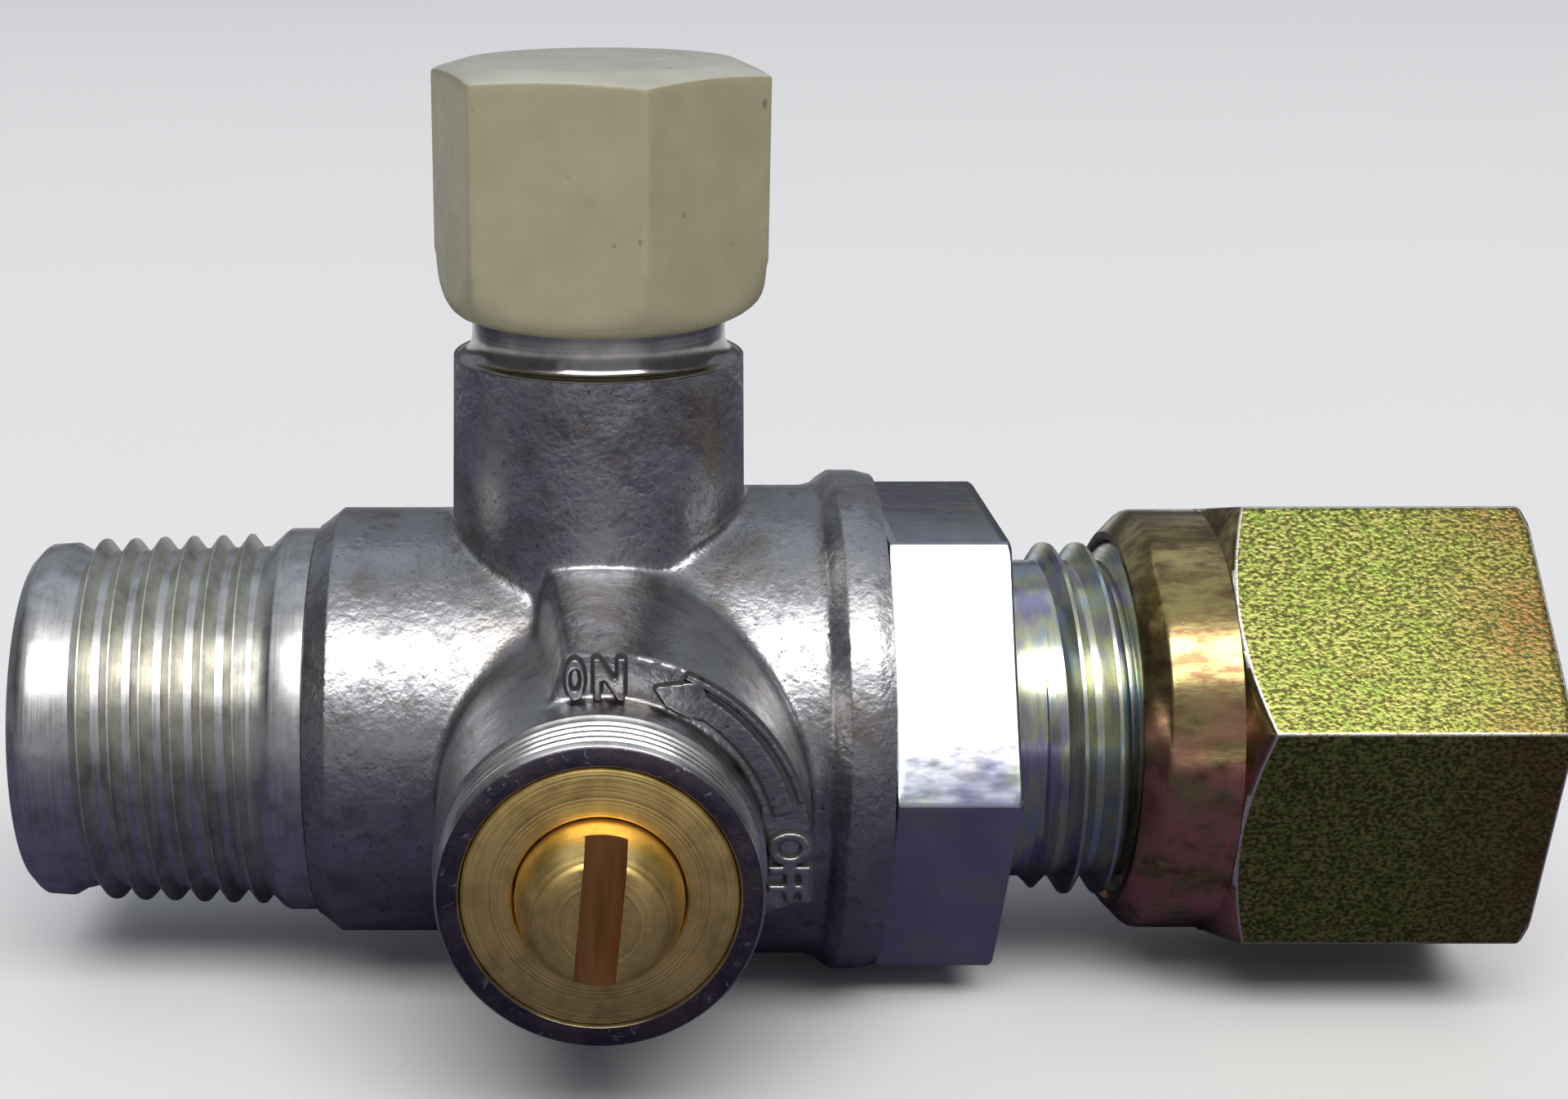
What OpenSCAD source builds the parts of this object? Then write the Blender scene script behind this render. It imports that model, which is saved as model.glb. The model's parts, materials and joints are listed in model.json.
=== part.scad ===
// Regulating valve: cast body with a quarter-turn shut-off, a capped regulating
// spindle, a taper-thread inlet and a 10 mm cutting-ring outlet.
// X runs with the flow to the outlet, Y away from the slotted stem, Z up to the cap.
// The origin is the middle of the inlet face.

/* [Inlet spigot] */
// Valve centre to the inlet face
inlet_reach = 25.4; // [24:0.1:30]
// Crest diameter of the taper thread at its gauge plane
inlet_gauge_dia = 16.66; // [15.6:0.02:17.2]
// Distance of the gauge plane from the inlet face
inlet_gauge_len = 6.35; // [5:0.05:8]
// Length of the inlet thread
inlet_thread_len = 10.8; // [9:0.1:11.5]
// Diameter of the inlet passage
inlet_bore = 9; // [7:0.1:10]
// Diameter of the plain ring behind the thread
spigot_ring_dia = 17.4; // [17.3:0.1:18.6]
// Width of the plain ring
spigot_ring_width = 1.8; // [1:0.1:2.4]
// Length of the cone from the ring up to the barrel
spigot_cone_len = 1.3; // [0.8:0.1:2]

/* [Barrel] */
// Barrel diameter on the inlet side
barrel_in_dia = 19.3; // [18.8:0.1:20.6]
// Barrel diameter on the outlet side
barrel_out_dia = 21.3; // [20.8:0.1:22]
// Valve centre to the outlet face
outlet_reach = 12.25; // [12:0.05:16]
// Crest diameter of the bead round the outlet
bead_dia = 22.7; // [22.4:0.1:24.5]
// Width of the bead
bead_width = 2.7; // [2.2:0.1:3.2]
// Radius of the fillet between neck and barrel
neck_fillet = 0.5; // [0.3:0.05:1.5]
// Radius of the fillet between boss and barrel
boss_fillet = 0.5; // [0.3:0.05:2.4]
// Diameter of the outlet socket
socket_dia = 13.2; // [12:0.1:14]
// Thickness of the web between stem chamber and outlet socket
socket_web = 1.1; // [0.8:0.1:1.4]

/* [Neck and cap thread] */
// Neck diameter where it leaves the barrel
neck_dia = 12.95; // [12.8:0.05:13.6]
// Draft taken off the neck diameter by the rim
neck_draft = 0.35; // [0.1:0.05:0.5]
// Height of the neck rim above the valve centre
neck_height = 17.1; // [16.6:0.1:19]
// Diameter of the threaded spigot that carries the cap
spigot_dia = 11; // [10.6:0.1:11.2]
// Length of the threaded spigot above the rim
spigot_len = 7.4; // [6.5:0.1:8.5]

/* [Boss and sector pad] */
// Valve centre to the boss face
boss_reach = 19.4; // [19:0.1:22]
// Diameter of the turned rim at the boss face
rim_dia = 12.7; // [12.4:0.1:13.2]
// Length of the turned rim
rim_len = 2.5; // [1.5:0.1:3]
// Cast boss diameter just behind the rim
boss_dia = 13; // [12.9:0.05:13.4]
// Cast boss diameter at its root in the barrel
boss_root_dia = 13.8; // [13.5:0.1:14.6]
// Valve centre to the face of the sector pad
pad_reach = 15.3; // [14:0.1:16.5]
// Radius of the sector pad at its face
pad_radius = 8.45; // [8:0.05:8.9]
// Radius gained by the pad's draft down to the barrel
pad_draft = 1.1; // [0.5:0.05:1.2]
// Angle at which the pad's rim starts, counted from three o'clock
pad_start = 99.4; // [95:0.1:108]
// Angle at which the pad's rim ends, below three o'clock
pad_end = -13.9; // [-20:0.1:-10]
// Heading of the pad's end wall beside ON
pad_start_heading = 75; // [65:1:95]
// Heading of the pad's end wall beside OFF
pad_end_heading = 20.4; // [-10:0.1:30]

/* [Shut-off stem] */
// Diameter of the plug that turns in the chamber
plug_dia = 8.5; // [8:0.05:8.6]
// Diameter of the passage through the plug
plug_port = 5; // [4:0.1:5.4]
// Wall of the sleeve round the plug
sleeve_wall = 0.7; // [0.5:0.05:0.8]
// Depth of the stem chamber behind the valve centre
chamber_depth = 6.6; // [6.2:0.1:7]
// Length of the sleeve in front of the valve centre
sleeve_front = 7; // [5.8:0.1:7.4]
// Diameter of the stem where it passes the gland ring
stem_dia = 6.6; // [6.2:0.1:6.8]
// Diameter of the stem's end face
stem_end_dia = 4.7; // [4.2:0.1:5]
// Length of the stem in front of the boss face
stem_proud = 2.3; // [1.8:0.1:3]
// Width of the screwdriver slot
slot_width = 1.6; // [1.2:0.1:2]
// Depth of the screwdriver slot
slot_depth = 1.3; // [0.8:0.1:1.7]
// Lean of the slot towards OFF as the valve stands
slot_lean = 5; // [0:1:10]
// Turn of the stem from ON to OFF
stem_turn = 90; // [80:1:100]
// Thickness of the gland ring
gland_len = 4.2; // [3.6:0.1:4.4]
// Step from the stem chamber up to the gland thread
gland_step = 0.35; // [0.25:0.05:0.4]

/* [Regulating spindle] */
// Diameter of the hole in the seat
seat_hole = 3.6; // [3:0.1:4]
// Height of the seat insert
seat_height = 2.8; // [2.4:0.1:3]
// Lift of the spindle as the valve stands
spindle_lift = 1.1; // [0.8:0.05:1.1]
// Diameter of the spindle's thread
spindle_thread = 4; // [3.6:0.1:4.2]
// Diameter of the spindle where its ring seals
spindle_seal_dia = 5; // [4.8:0.1:5.2]
// Diameter of the thread of the bonnet
bonnet_dia = 8.2; // [8:0.05:8.3]

/* [Cap] */
// Width of the cap across its flats
cap_flats = 13; // [12.8:0.1:14]
// Height of the cap
cap_height = 11.3; // [10.8:0.1:12.5]
// Thickness of the cap's roof
cap_roof = 1.5; // [1:0.1:1.7]
// Radius of the rounded lower edge
cap_round = 2.25; // [1.5:0.05:2.4]
// Play between the neck rim and the cap
cap_play = 1.25; // [1.1:0.05:1.5]

/* [Stud coupling] */
// Width of the coupling's hexagon across its flats
stud_flats = 19.5; // [19:0.1:20.4]
// Length of the hexagon
stud_hex_len = 5.2; // [4.5:0.1:7]
// Diameter of the undercut behind the hexagon
undercut_dia = 14.4; // [14:0.1:15]
// Length of the undercut
undercut_len = 2.5; // [2:0.1:3]
// Crest diameter of the outlet thread
outlet_thread = 16; // [15.6:0.1:16.6]
// Length of the outlet thread
outlet_thread_len = 11.5; // [11:0.1:12]
// Diameter of the flow hole
flow_hole = 8; // [6:0.1:8.4]
// Depth from the coupling's end to the shoulder that the tube meets
tube_depth = 7; // [6.6:0.1:8]
// Outside diameter of the tube
tube_dia = 10; // [9.6:0.1:10.2]

/* [Compression nut] */
// Width of the nut across its flats
nut_flats = 19; // [18.8:0.1:20]
// Diameter of the nut's round hub
hub_dia = 19; // [18.4:0.1:19]
// Length of the hub
hub_len = 4; // [3:0.1:5]
// Length of the nut
nut_len = 17.2; // [17:0.1:18.5]
// Threads left open between undercut and nut
nut_gap = 3; // [2.6:0.1:3.4]

/* [Hidden] */
$fn = 96;

// Clearance of running fits, of fitted parts, and of faces that come close
run_fit = 0.05;
set_fit = 0.02;
face_gap = 0.05;

// Taper of the inlet thread: one in sixteen on the diameter
taper = 1 / 16;
edge = 0.4;
bead_crown = 0.6;
bead_foot = 0.2;
boss_step = 7;
pad_wall_draft = 5.7;

// The barrel widens between these distances before and behind the valve centre
widen_back = 2;
widen_front = 4;

// Facets of the fillets, and how far their edges sink into the walls
fillet_around = 60;
fillet_steps = 3;
fillet_sink = 0.02;
fillet_core = 0.5;

// Stations along the run, counted from the inlet face
centre_x = inlet_reach;
outlet_face = centre_x + outlet_reach;
thread_stop = inlet_thread_len;
ring_stop = thread_stop + spigot_ring_width;
cone_stop = ring_stop + spigot_cone_len;

// Stem chamber, from the plug outwards
plug_r = plug_dia / 2;
sleeve_in = plug_r + run_fit;
sleeve_out = sleeve_in + sleeve_wall;
chamber_r = sleeve_out + set_fit;
collar_r = chamber_r - run_fit;
gland_r = chamber_r + gland_step;
sleeve_back = -chamber_depth + face_gap;
plug_back = sleeve_back;
gland_back = boss_reach - gland_len;
washer_thick = 0.5;
spring_thick = 0.4;
spring_rise = 0.5;
spring_back = gland_back - face_gap - spring_thick - spring_rise;
washer_back = spring_back - face_gap - washer_thick;
collar_back = sleeve_front + 2 * face_gap;
collar_front = washer_back - face_gap;
stem_cord = 1;
stem_ring_offset = 1.4;
stem_groove = collar_r - stem_cord + run_fit - 2 * set_fit;
gland_cord = 1;
gland_groove = 1.2;

// Quarter-turn stop: a pin in the chamber floor and a kidney groove in the plug
pin_dia = 1.5;
pin_len = 3.2;
pin_orbit = plug_r * 0.6;
pin_sink = 1.8;
pin_angle = 45;
kidney_depth = pin_len - pin_sink + face_gap;

// Outlet socket and the oblique passage up to the regulating chamber
socket_back = centre_x + chamber_r + socket_web;
passage_dia = 3.6;
passage_clear = 1.85;
passage_tilt = 39.7;
passage_off = chamber_r + passage_clear + passage_dia / 2;

// Regulating chamber in the neck
neck_top_r = (neck_dia - neck_draft) / 2;
seat_back = chamber_r + 1.4;
seat_top = seat_back + seat_height;
seat_r = 3.2;
throat_dia = seat_hole + 0.8;
chamber_up_r = 3.7;
gasket_drop = 2.9;
gasket_back = neck_height - gasket_drop;
gasket_thick = 0.5;
bonnet_r = bonnet_dia / 2;
bonnet_back = gasket_back + gasket_thick + face_gap;
bonnet_nose = 2.1;
bonnet_len = 5.9;
bonnet_slot = 1;
spigot_top = neck_height + spigot_len;
shoulder_rise = 0.45;
shoulder_r = spigot_dia / 2 + 0.25;

// Spindle: a taper needle that closes the seat when the lift is screwed down
needle_len = 2.6;
needle_tip = 0.6;
needle_r = seat_hole / 2;
needle_seat = seat_top - 0.5;
needle_top = needle_seat + spindle_lift;
shank_r = needle_r + 0.15;
seal_inset = 1.27;
seal_back = bonnet_back - bonnet_nose + seal_inset;
seal_len = 2.6;
seal_top = seal_back + seal_len;
spindle_cord = 1;
spindle_groove = spindle_seal_dia / 2 - spindle_cord + run_fit;
spindle_top = spigot_top + 1.15;
spindle_slot = 0.8;
spindle_slot_depth = 1.2;

// Cap, seated by its gasket on the spigot
cap_back = neck_height + cap_play;
cap_top = cap_back + cap_height;
cap_gasket_thick = 0.8;
cap_shelf = spigot_top + cap_gasket_thick + 2 * face_gap;
cap_well_r = 4.2;
cap_turn = 45;
cap_disc = cap_flats / 2 - 0.2;
chamfer_tan = tan(30);

// Stud coupling and nut
hex_back = outlet_face + face_gap;
hex_front = hex_back + stud_hex_len;
stud_thread_back = hex_front + undercut_len;
stud_end = stud_thread_back + outlet_thread_len;
shank_back = socket_back + 1.5;
tube_r = tube_dia / 2 + run_fit;
tube_stop = stud_end - tube_depth;
cone_tan = tan(12);
cone_mouth_r = tube_r + 1.1;
stud_turn = 28.5;
seal_groove_in = socket_dia / 2 + 0.7;
seal_width = 1;
seal_depth = 0.9;
nut_back = stud_thread_back + nut_gap;
nut_front = nut_back + nut_len;
nut_turn = 13;
nut_bore_r = outlet_thread / 2 + run_fit;
nut_seat = 3.9;
nut_cone_front = nut_front - nut_seat;
ring_collar_r = cone_mouth_r + 0.45;
ring_gap = 1.5 * face_gap;
ring_back = stud_end - 3.6;

// Turns a piece drawn along Z so that it lies along the run
module on_run() rotate([0, 90, 0]) children();

// Turns a piece drawn along Z so that it points out of the boss
module on_boss() translate([centre_x, 0, 0]) rotate([90, 0, 0]) children();

// Moves a piece drawn along Z onto the neck axis
module on_neck() translate([centre_x, 0, 0]) children();

// A ring of rectangular section
module tube_ring(r_in, r_out, back, front) {
    rotate_extrude() translate([r_in, back]) square([r_out - r_in, front - back]);
}

// A sealing ring of round section
module o_ring(r_mid, cord, height) {
    rotate_extrude() translate([r_mid, height]) circle(d = cord, $fn = 32);
}

// A solid of revolution from [radius, height] points
module turned(points) rotate_extrude() polygon(points);

// Points of an arc, for the profiles
function arc(cx, cy, r, from, to, steps) =
    [for (i = [0 : steps]) let (a = from + (to - from) * i / steps)
        [cx + r * cos(a), cy + r * sin(a)]];

// Crest radius of the taper thread at a station along the run
function taper_r(x) = (inlet_gauge_dia + (x - inlet_gauge_len) * taper) / 2;

// Radius of the barrel's wall at a distance along the run from the valve centre
function barrel_r(off) =
    barrel_in_dia / 2 + (barrel_out_dia - barrel_in_dia) / 2
        * min(1, max(0, (off + widen_back) / (widen_back + widen_front)));

// Height of the barrel's wall above the valve centre, at a point beside a stub's axis
function barrel_rise(x, y) = sqrt(pow(barrel_r(x), 2) - y * y);

// Radius of the neck's and of the boss's wall at a height above the valve centre
function neck_r(h) =
    neck_dia / 2 - neck_draft / 2 * max(0, h - barrel_in_dia / 2) / (neck_height - barrel_in_dia / 2);
function boss_r(h) =
    boss_root_dia / 2 - (boss_root_dia - boss_dia) / 2
        * max(0, h - boss_step) / (boss_reach - rim_len - boss_step);

// Where the nut's inner cone has this radius
function nut_cone_x(r) = nut_cone_front - (r - tube_r - run_fit);

// Spigot, barrel and outlet bead, turned about the run
module barrel() {
    bead_back = outlet_face - bead_width;
    out_r = barrel_out_dia / 2;
    bead_r = bead_dia / 2;
    on_run() turned(concat(
        [[0, 0], [taper_r(0) - edge, 0], [taper_r(edge), edge]],
        [[taper_r(thread_stop - edge), thread_stop - edge]],
        [[spigot_ring_dia / 2, thread_stop + edge], [spigot_ring_dia / 2, ring_stop]],
        [[barrel_in_dia / 2, cone_stop], [barrel_in_dia / 2, centre_x - widen_back]],
        [[out_r, centre_x + widen_front], [out_r, bead_back]],
        arc(bead_r - bead_crown, bead_back + bead_crown + bead_foot, bead_crown, -160, -270, 5),
        [[bead_r, outlet_face - 0.7], [bead_r - 0.1, outlet_face - edge]],
        [[bead_r - edge, outlet_face], [0, outlet_face]]
    ));
}

// Concave ring that rounds the joint between the barrel and a stub along Z
module root_fillet(wall, size) {
    root = wall(0);
    function ring(turn) =
        let (c = cos(turn), s = sin(turn), low = barrel_rise(root * c, root * s))
        concat(
            [for (k = [0 : fillet_steps])
                let (t = 90 * k / fillet_steps, lift = size * (1 - cos(t)))
                let (a = wall(low + lift) + size * (1 - sin(t)) - fillet_sink)
                [a * c, a * s, barrel_rise(a * c, a * s) + lift - fillet_sink]],
            let (a = root - fillet_core, b = root + size - fillet_sink)
            [
                [a * c, a * s, low + size - fillet_sink],
                [a * c, a * s, low - fillet_core],
                [b * c, b * s, barrel_rise(b * c, b * s) - fillet_core]
            ]
        );
    rings = [for (i = [0 : fillet_around - 1]) ring(360 * i / fillet_around)];
    count = len(rings[0]);
    function at(i, k) = (i % fillet_around) * count + k % count;
    polyhedron(
        points = [for (r = rings) each r],
        faces = [for (i = [0 : fillet_around - 1], k = [0 : count - 1], half = [0, 1])
            half == 0 ? [at(i, k), at(i, k + 1), at(i + 1, k)]
                : [at(i + 1, k), at(i, k + 1), at(i + 1, k + 1)]]
    );
}

// Neck with its drafted wall, rim, shoulder and the spigot for the cap
module neck() {
    spigot_r = spigot_dia / 2;
    turned(concat(
        [[0, 0], [neck_dia / 2, 0], [neck_dia / 2, barrel_in_dia / 2]],
        [[neck_top_r, neck_height - 0.1], [neck_top_r - 0.15, neck_height + 0.1]],
        [[shoulder_r + 0.15, neck_height + shoulder_rise]],
        arc(shoulder_r + 0.15, neck_height + shoulder_rise + 0.4, 0.4, -90, -180, 4),
        [[spigot_r, neck_height + cap_play], [spigot_r, spigot_top - edge]],
        [[spigot_r - edge, spigot_top], [0, spigot_top]]
    ));
}

// Round boss for the shut-off stem, cast with draft and turned at its rim
module boss() {
    rim_back = boss_reach - rim_len;
    turned([
        [0, 0], [boss_root_dia / 2, 0], [boss_root_dia / 2, boss_step], [boss_dia / 2, rim_back],
        [rim_dia / 2, rim_back + 0.15], [rim_dia / 2, boss_reach - edge / 2],
        [rim_dia / 2 - edge / 2, boss_reach], [0, boss_reach]
    ]);
}

// Half of space behind an upright wall that passes a point of the pad's rim
module behind_wall(at, heading, side) {
    far = 4 * pad_radius;
    translate([pad_radius * cos(at), pad_radius * sin(at), pad_reach])
        rotate([0, 0, heading]) rotate([side * pad_wall_draft, 0, 0])
            translate([-far, side > 0 ? -far : 0, -far]) cube([2 * far, far, far + 1]);
}

// Sector pad between ON and OFF, a drafted quarter ring round the boss
module sector_pad() {
    far = 4 * pad_radius;
    intersection() {
        cylinder(r1 = pad_radius + pad_draft, r2 = pad_radius, h = pad_reach);
        behind_wall(pad_start, pad_start_heading, 1);
        behind_wall(pad_end, pad_end_heading, -1);
        rotate([0, 0, -45]) translate([-far, 0, -1]) cube([2 * far, far, far]);
    }
}

// Passages and seats that are bored into the casting
module body_bores() {
    on_run() translate([0, 0, -1]) cylinder(d = inlet_bore, h = centre_x + 1);
    on_run() translate([0, 0, socket_back])
        cylinder(d = socket_dia, h = outlet_face - socket_back + 1);
    on_boss() translate([0, 0, -chamber_depth])
        cylinder(r = chamber_r, h = chamber_depth + boss_reach + 1);
    on_boss() translate([0, 0, gland_back]) cylinder(r = gland_r, h = gland_len + 1);
    on_boss() rotate([0, 0, pin_angle]) translate([pin_orbit, 0, -chamber_depth - pin_sink])
        cylinder(d = pin_dia + 2 * set_fit, h = pin_sink + 1, $fn = 32);
    on_neck() {
        cylinder(d = throat_dia, h = seat_top, $fn = 48);
        translate([0, 0, seat_back]) cylinder(r = seat_r + set_fit, h = seat_height);
        translate([0, 0, seat_top]) cylinder(r = chamber_up_r, h = spigot_top - seat_top);
        translate([0, 0, gasket_back]) cylinder(r = bonnet_r + run_fit, h = spigot_top);
        passage();
    }
}

// Oblique passage, drilled from the socket past the stem chamber
module passage() {
    rotate([0, 90 - passage_tilt, 0])
        translate([0, 0, passage_off])
            rotate([0, -90, 0])
                translate([0, 0, -socket_dia / 2 - 1])
                    cylinder(d = passage_dia, h = socket_dia + 2, $fn = 48);
}

module valve_body() {
    color("#8f9195")
    difference() {
        union() {
            barrel();
            on_neck() neck();
            on_neck() root_fillet(function(h) neck_r(h), neck_fillet);
            on_boss() boss();
            on_boss() root_fillet(function(h) boss_r(h), boss_fillet);
            on_boss() sector_pad();
        }
        body_bores();
    }
}

// Hexagon cap: a six-sided prism trimmed by a turned outline, open below
module cap() {
    corner_r = cap_flats / sqrt(3) + 0.1;
    round_r = corner_r - cap_round - 0.1;
    color("#b5ae93")
    on_neck() difference() {
        intersection() {
            rotate([0, 0, cap_turn]) translate([0, 0, cap_back])
                cylinder(d = cap_flats * 2 / sqrt(3), h = cap_height, $fn = 6);
            turned(concat(
                [[0, cap_back]],
                arc(round_r, cap_back + cap_round, cap_round, -90, 0, 8),
                [[corner_r, cap_back + cap_round]],
                [[corner_r, cap_top - (corner_r - cap_disc) * chamfer_tan]],
                [[cap_disc, cap_top], [0, cap_top]]
            ));
        }
        translate([0, 0, cap_back - 1])
            cylinder(d = spigot_dia + 2 * run_fit, h = cap_shelf - cap_back + 1);
        translate([0, 0, cap_back]) cylinder(r = cap_well_r, h = cap_height - cap_roof);
    }
}

module cap_gasket() {
    color("#2d2d2f")
    on_neck() tube_ring(cap_well_r + set_fit, spigot_dia / 2 - edge / 2, spigot_top + face_gap,
        spigot_top + face_gap + cap_gasket_thick);
}

// Spindle: needle, shank, sealing land, thread and slotted end
module regulating_spindle() {
    seal_r = spindle_seal_dia / 2;
    mid = (seal_back + seal_top) / 2;
    half = spindle_cord / 2 + face_gap;
    thread_r = spindle_thread / 2;
    color("#c9a24d")
    on_neck() difference() {
        turned([
            [0, needle_top - needle_len], [needle_tip, needle_top - needle_len],
            [needle_r, needle_top], [shank_r, needle_top + 0.15],
            [shank_r, seal_back - 0.3], [seal_r - 0.2, seal_back], [seal_r, seal_back + 0.2],
            [seal_r, mid - half], [spindle_groove, mid - half],
            [spindle_groove, mid + half], [seal_r, mid + half],
            [seal_r, seal_top], [thread_r, seal_top + 0.2],
            [thread_r, spindle_top - 0.3], [thread_r - 0.3, spindle_top], [0, spindle_top]
        ]);
        translate([-spindle_thread, -spindle_slot / 2, spindle_top - spindle_slot_depth])
            cube([2 * spindle_thread, spindle_slot, 2 * spindle_slot_depth]);
    }
}

module spindle_o_ring() {
    color("#1f1f21")
    on_neck() o_ring(spindle_seal_dia / 2 - spindle_cord / 2 + run_fit / 2 + set_fit / 2,
        spindle_cord - 2 * set_fit, (seal_back + seal_top) / 2);
}

// Bonnet screwed into the neck, with the sealing bore below and the thread above
module spindle_bonnet() {
    nose_r = chamber_up_r - 0.2;
    seal_bore = spindle_seal_dia / 2 + run_fit;
    thread_bore = spindle_thread / 2 + run_fit;
    bonnet_top = bonnet_back + bonnet_len;
    step = seal_top + spindle_lift + 0.2;
    color("#c2994a")
    on_neck() difference() {
        turned([
            [0, bonnet_back - bonnet_nose], [nose_r, bonnet_back - bonnet_nose],
            [nose_r, bonnet_back], [bonnet_r, bonnet_back],
            [bonnet_r, bonnet_top - edge], [bonnet_r - edge, bonnet_top], [0, bonnet_top]
        ]);
        translate([0, 0, bonnet_back - bonnet_nose - 1])
            cylinder(r = seal_bore, h = step - bonnet_back + bonnet_nose + 1);
        translate([0, 0, bonnet_back]) cylinder(r = thread_bore, h = bonnet_len + 1);
        translate([-bonnet_dia, -bonnet_slot / 2, bonnet_top - bonnet_slot])
            cube([2 * bonnet_dia, bonnet_slot, 2 * bonnet_slot]);
    }
}

module bonnet_gasket() {
    color("#b4693a")
    on_neck() tube_ring(chamber_up_r - 0.15, bonnet_r, gasket_back + set_fit, gasket_back + gasket_thick);
}

// Seat ring with a bevelled mouth for the needle
module seat_insert() {
    color("#c9a24d")
    on_neck() turned([
        [seat_hole / 2, seat_back + set_fit], [seat_r, seat_back + set_fit], [seat_r, seat_top],
        [seat_hole / 2 + 0.55, seat_top], [seat_hole / 2, needle_seat - face_gap]
    ]);
}

// Stem: elbow-bored plug, sealing collar, shaft and the domed, slotted end
module shutoff_stem() {
    shaft_r = stem_dia / 2 - run_fit;
    head = boss_reach + stem_proud;
    foot = boss_reach + 0.05;
    end_r = stem_end_dia / 2;
    dome_mid = (head + foot) / 2 - (pow(shaft_r, 2) - pow(end_r, 2)) / (2 * (head - foot));
    dome_r = norm([shaft_r, foot - dome_mid]);
    mid = (collar_back + collar_front) / 2;
    color("#c8a048")
    on_boss() rotate([0, 0, -slot_lean]) difference() {
        turned(concat(
            [[0, plug_back], [plug_r, plug_back], [plug_r, collar_back]],
            [[collar_r, collar_back], [collar_r, collar_front]],
            [[shaft_r, collar_front], [shaft_r, foot - 0.1]],
            arc(0, dome_mid, dome_r, atan2(foot - dome_mid, shaft_r), atan2(head - dome_mid, end_r), 8),
            [[0, head]]
        ));
        for (at = [mid - stem_ring_offset, mid + stem_ring_offset])
            tube_ring(stem_groove, collar_r + 1, at - stem_cord / 2 - face_gap,
                at + stem_cord / 2 + face_gap);
        elbow_port();
        kidney_groove();
        translate([-slot_width / 2, -stem_dia, head - slot_depth])
            cube([slot_width, 2 * stem_dia, slot_depth + 1]);
    }
}

// Passage through the plug: in from the inlet side, out towards the seat
module elbow_port() {
    rotate([0, -90, 0]) cylinder(d = plug_port, h = plug_dia);
    rotate([-90, 0, 0]) cylinder(d = plug_port, h = plug_dia);
    sphere(d = plug_port);
}

// Kidney groove in the plug's end that runs over the stop pin
module kidney_groove() {
    groove = pin_dia + 2 * run_fit;
    for (turn = [0, stem_turn])
        rotate([0, 0, pin_angle + turn]) translate([pin_orbit, 0, plug_back - 1])
            cylinder(d = groove, h = kidney_depth + 1, $fn = 32);
    rotate([0, 0, pin_angle])
        rotate_extrude(angle = stem_turn)
            translate([pin_orbit - groove / 2, plug_back - 1]) square([groove, kidney_depth + 1]);
}

// Sleeve round the plug, with a window to the inlet and one to the seat
module plug_sleeve() {
    color("#e8e6df")
    on_boss() difference() {
        tube_ring(sleeve_in, sleeve_out, sleeve_back, sleeve_front);
        rotate([0, -90, 0]) cylinder(d = plug_port + 0.4, h = 2 * sleeve_out);
        rotate([-90, 0, 0]) cylinder(d = plug_port + 0.4, h = 2 * sleeve_out);
    }
}

module stem_ring(side) {
    mid = (collar_back + collar_front) / 2;
    color("#1f1f21")
    on_boss() o_ring(stem_groove + stem_cord / 2 + set_fit, stem_cord - 2 * set_fit,
        mid + side * stem_ring_offset);
}

module stem_o_ring_front() stem_ring(1);

module stem_o_ring_rear() stem_ring(-1);

module thrust_washer() {
    color("#dcd8c8")
    on_boss() tube_ring(stem_dia / 2 + run_fit, collar_r, washer_back, washer_back + washer_thick);
}

// Coned spring that keeps the plug against its sleeve
module disc_spring() {
    inner = stem_dia / 2 + 2 * run_fit;
    outer = collar_r - run_fit;
    color("#9aa0a6")
    on_boss() turned([
        [inner, spring_back + spring_rise], [outer, spring_back],
        [outer, spring_back + spring_thick], [inner, spring_back + spring_rise + spring_thick]
    ]);
}

// Gland ring screwed into the boss, flush with its face
module gland_ring() {
    cord_back = gland_back + gland_groove;
    color("#c8a048")
    on_boss() difference() {
        tube_ring(stem_dia / 2, gland_r - run_fit, gland_back, boss_reach);
        tube_ring(stem_dia / 2 - 1, stem_dia / 2 + gland_cord - run_fit, cord_back,
            cord_back + gland_cord + 2 * face_gap);
    }
}

module gland_o_ring() {
    color("#1f1f21")
    on_boss() o_ring(stem_dia / 2 + gland_cord / 2 - run_fit - set_fit,
        gland_cord - 3 * set_fit, gland_back + gland_groove + gland_cord / 2 + face_gap);
}

module stop_pin() {
    color("#9aa0a6")
    on_boss() rotate([0, 0, pin_angle]) translate([pin_orbit, 0, -chamber_depth - pin_sink + set_fit])
        cylinder(d = pin_dia, h = pin_len, $fn = 32);
}

// Hexagon with thirty-degree chamfers, laid along the run
module run_hexagon(flats, turn, back, front, cut_back, cut_front) {
    corner_r = flats / sqrt(3) + 0.05;
    intersection() {
        rotate([0, 0, turn]) translate([0, 0, back])
            cylinder(d = flats * 2 / sqrt(3), h = front - back, $fn = 6);
        turned([
            [0, back], [corner_r - cut_back, back], [corner_r, back + cut_back * chamfer_tan],
            [corner_r, front - cut_front * chamfer_tan], [corner_r - cut_front, front], [0, front]
        ]);
    }
}

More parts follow.
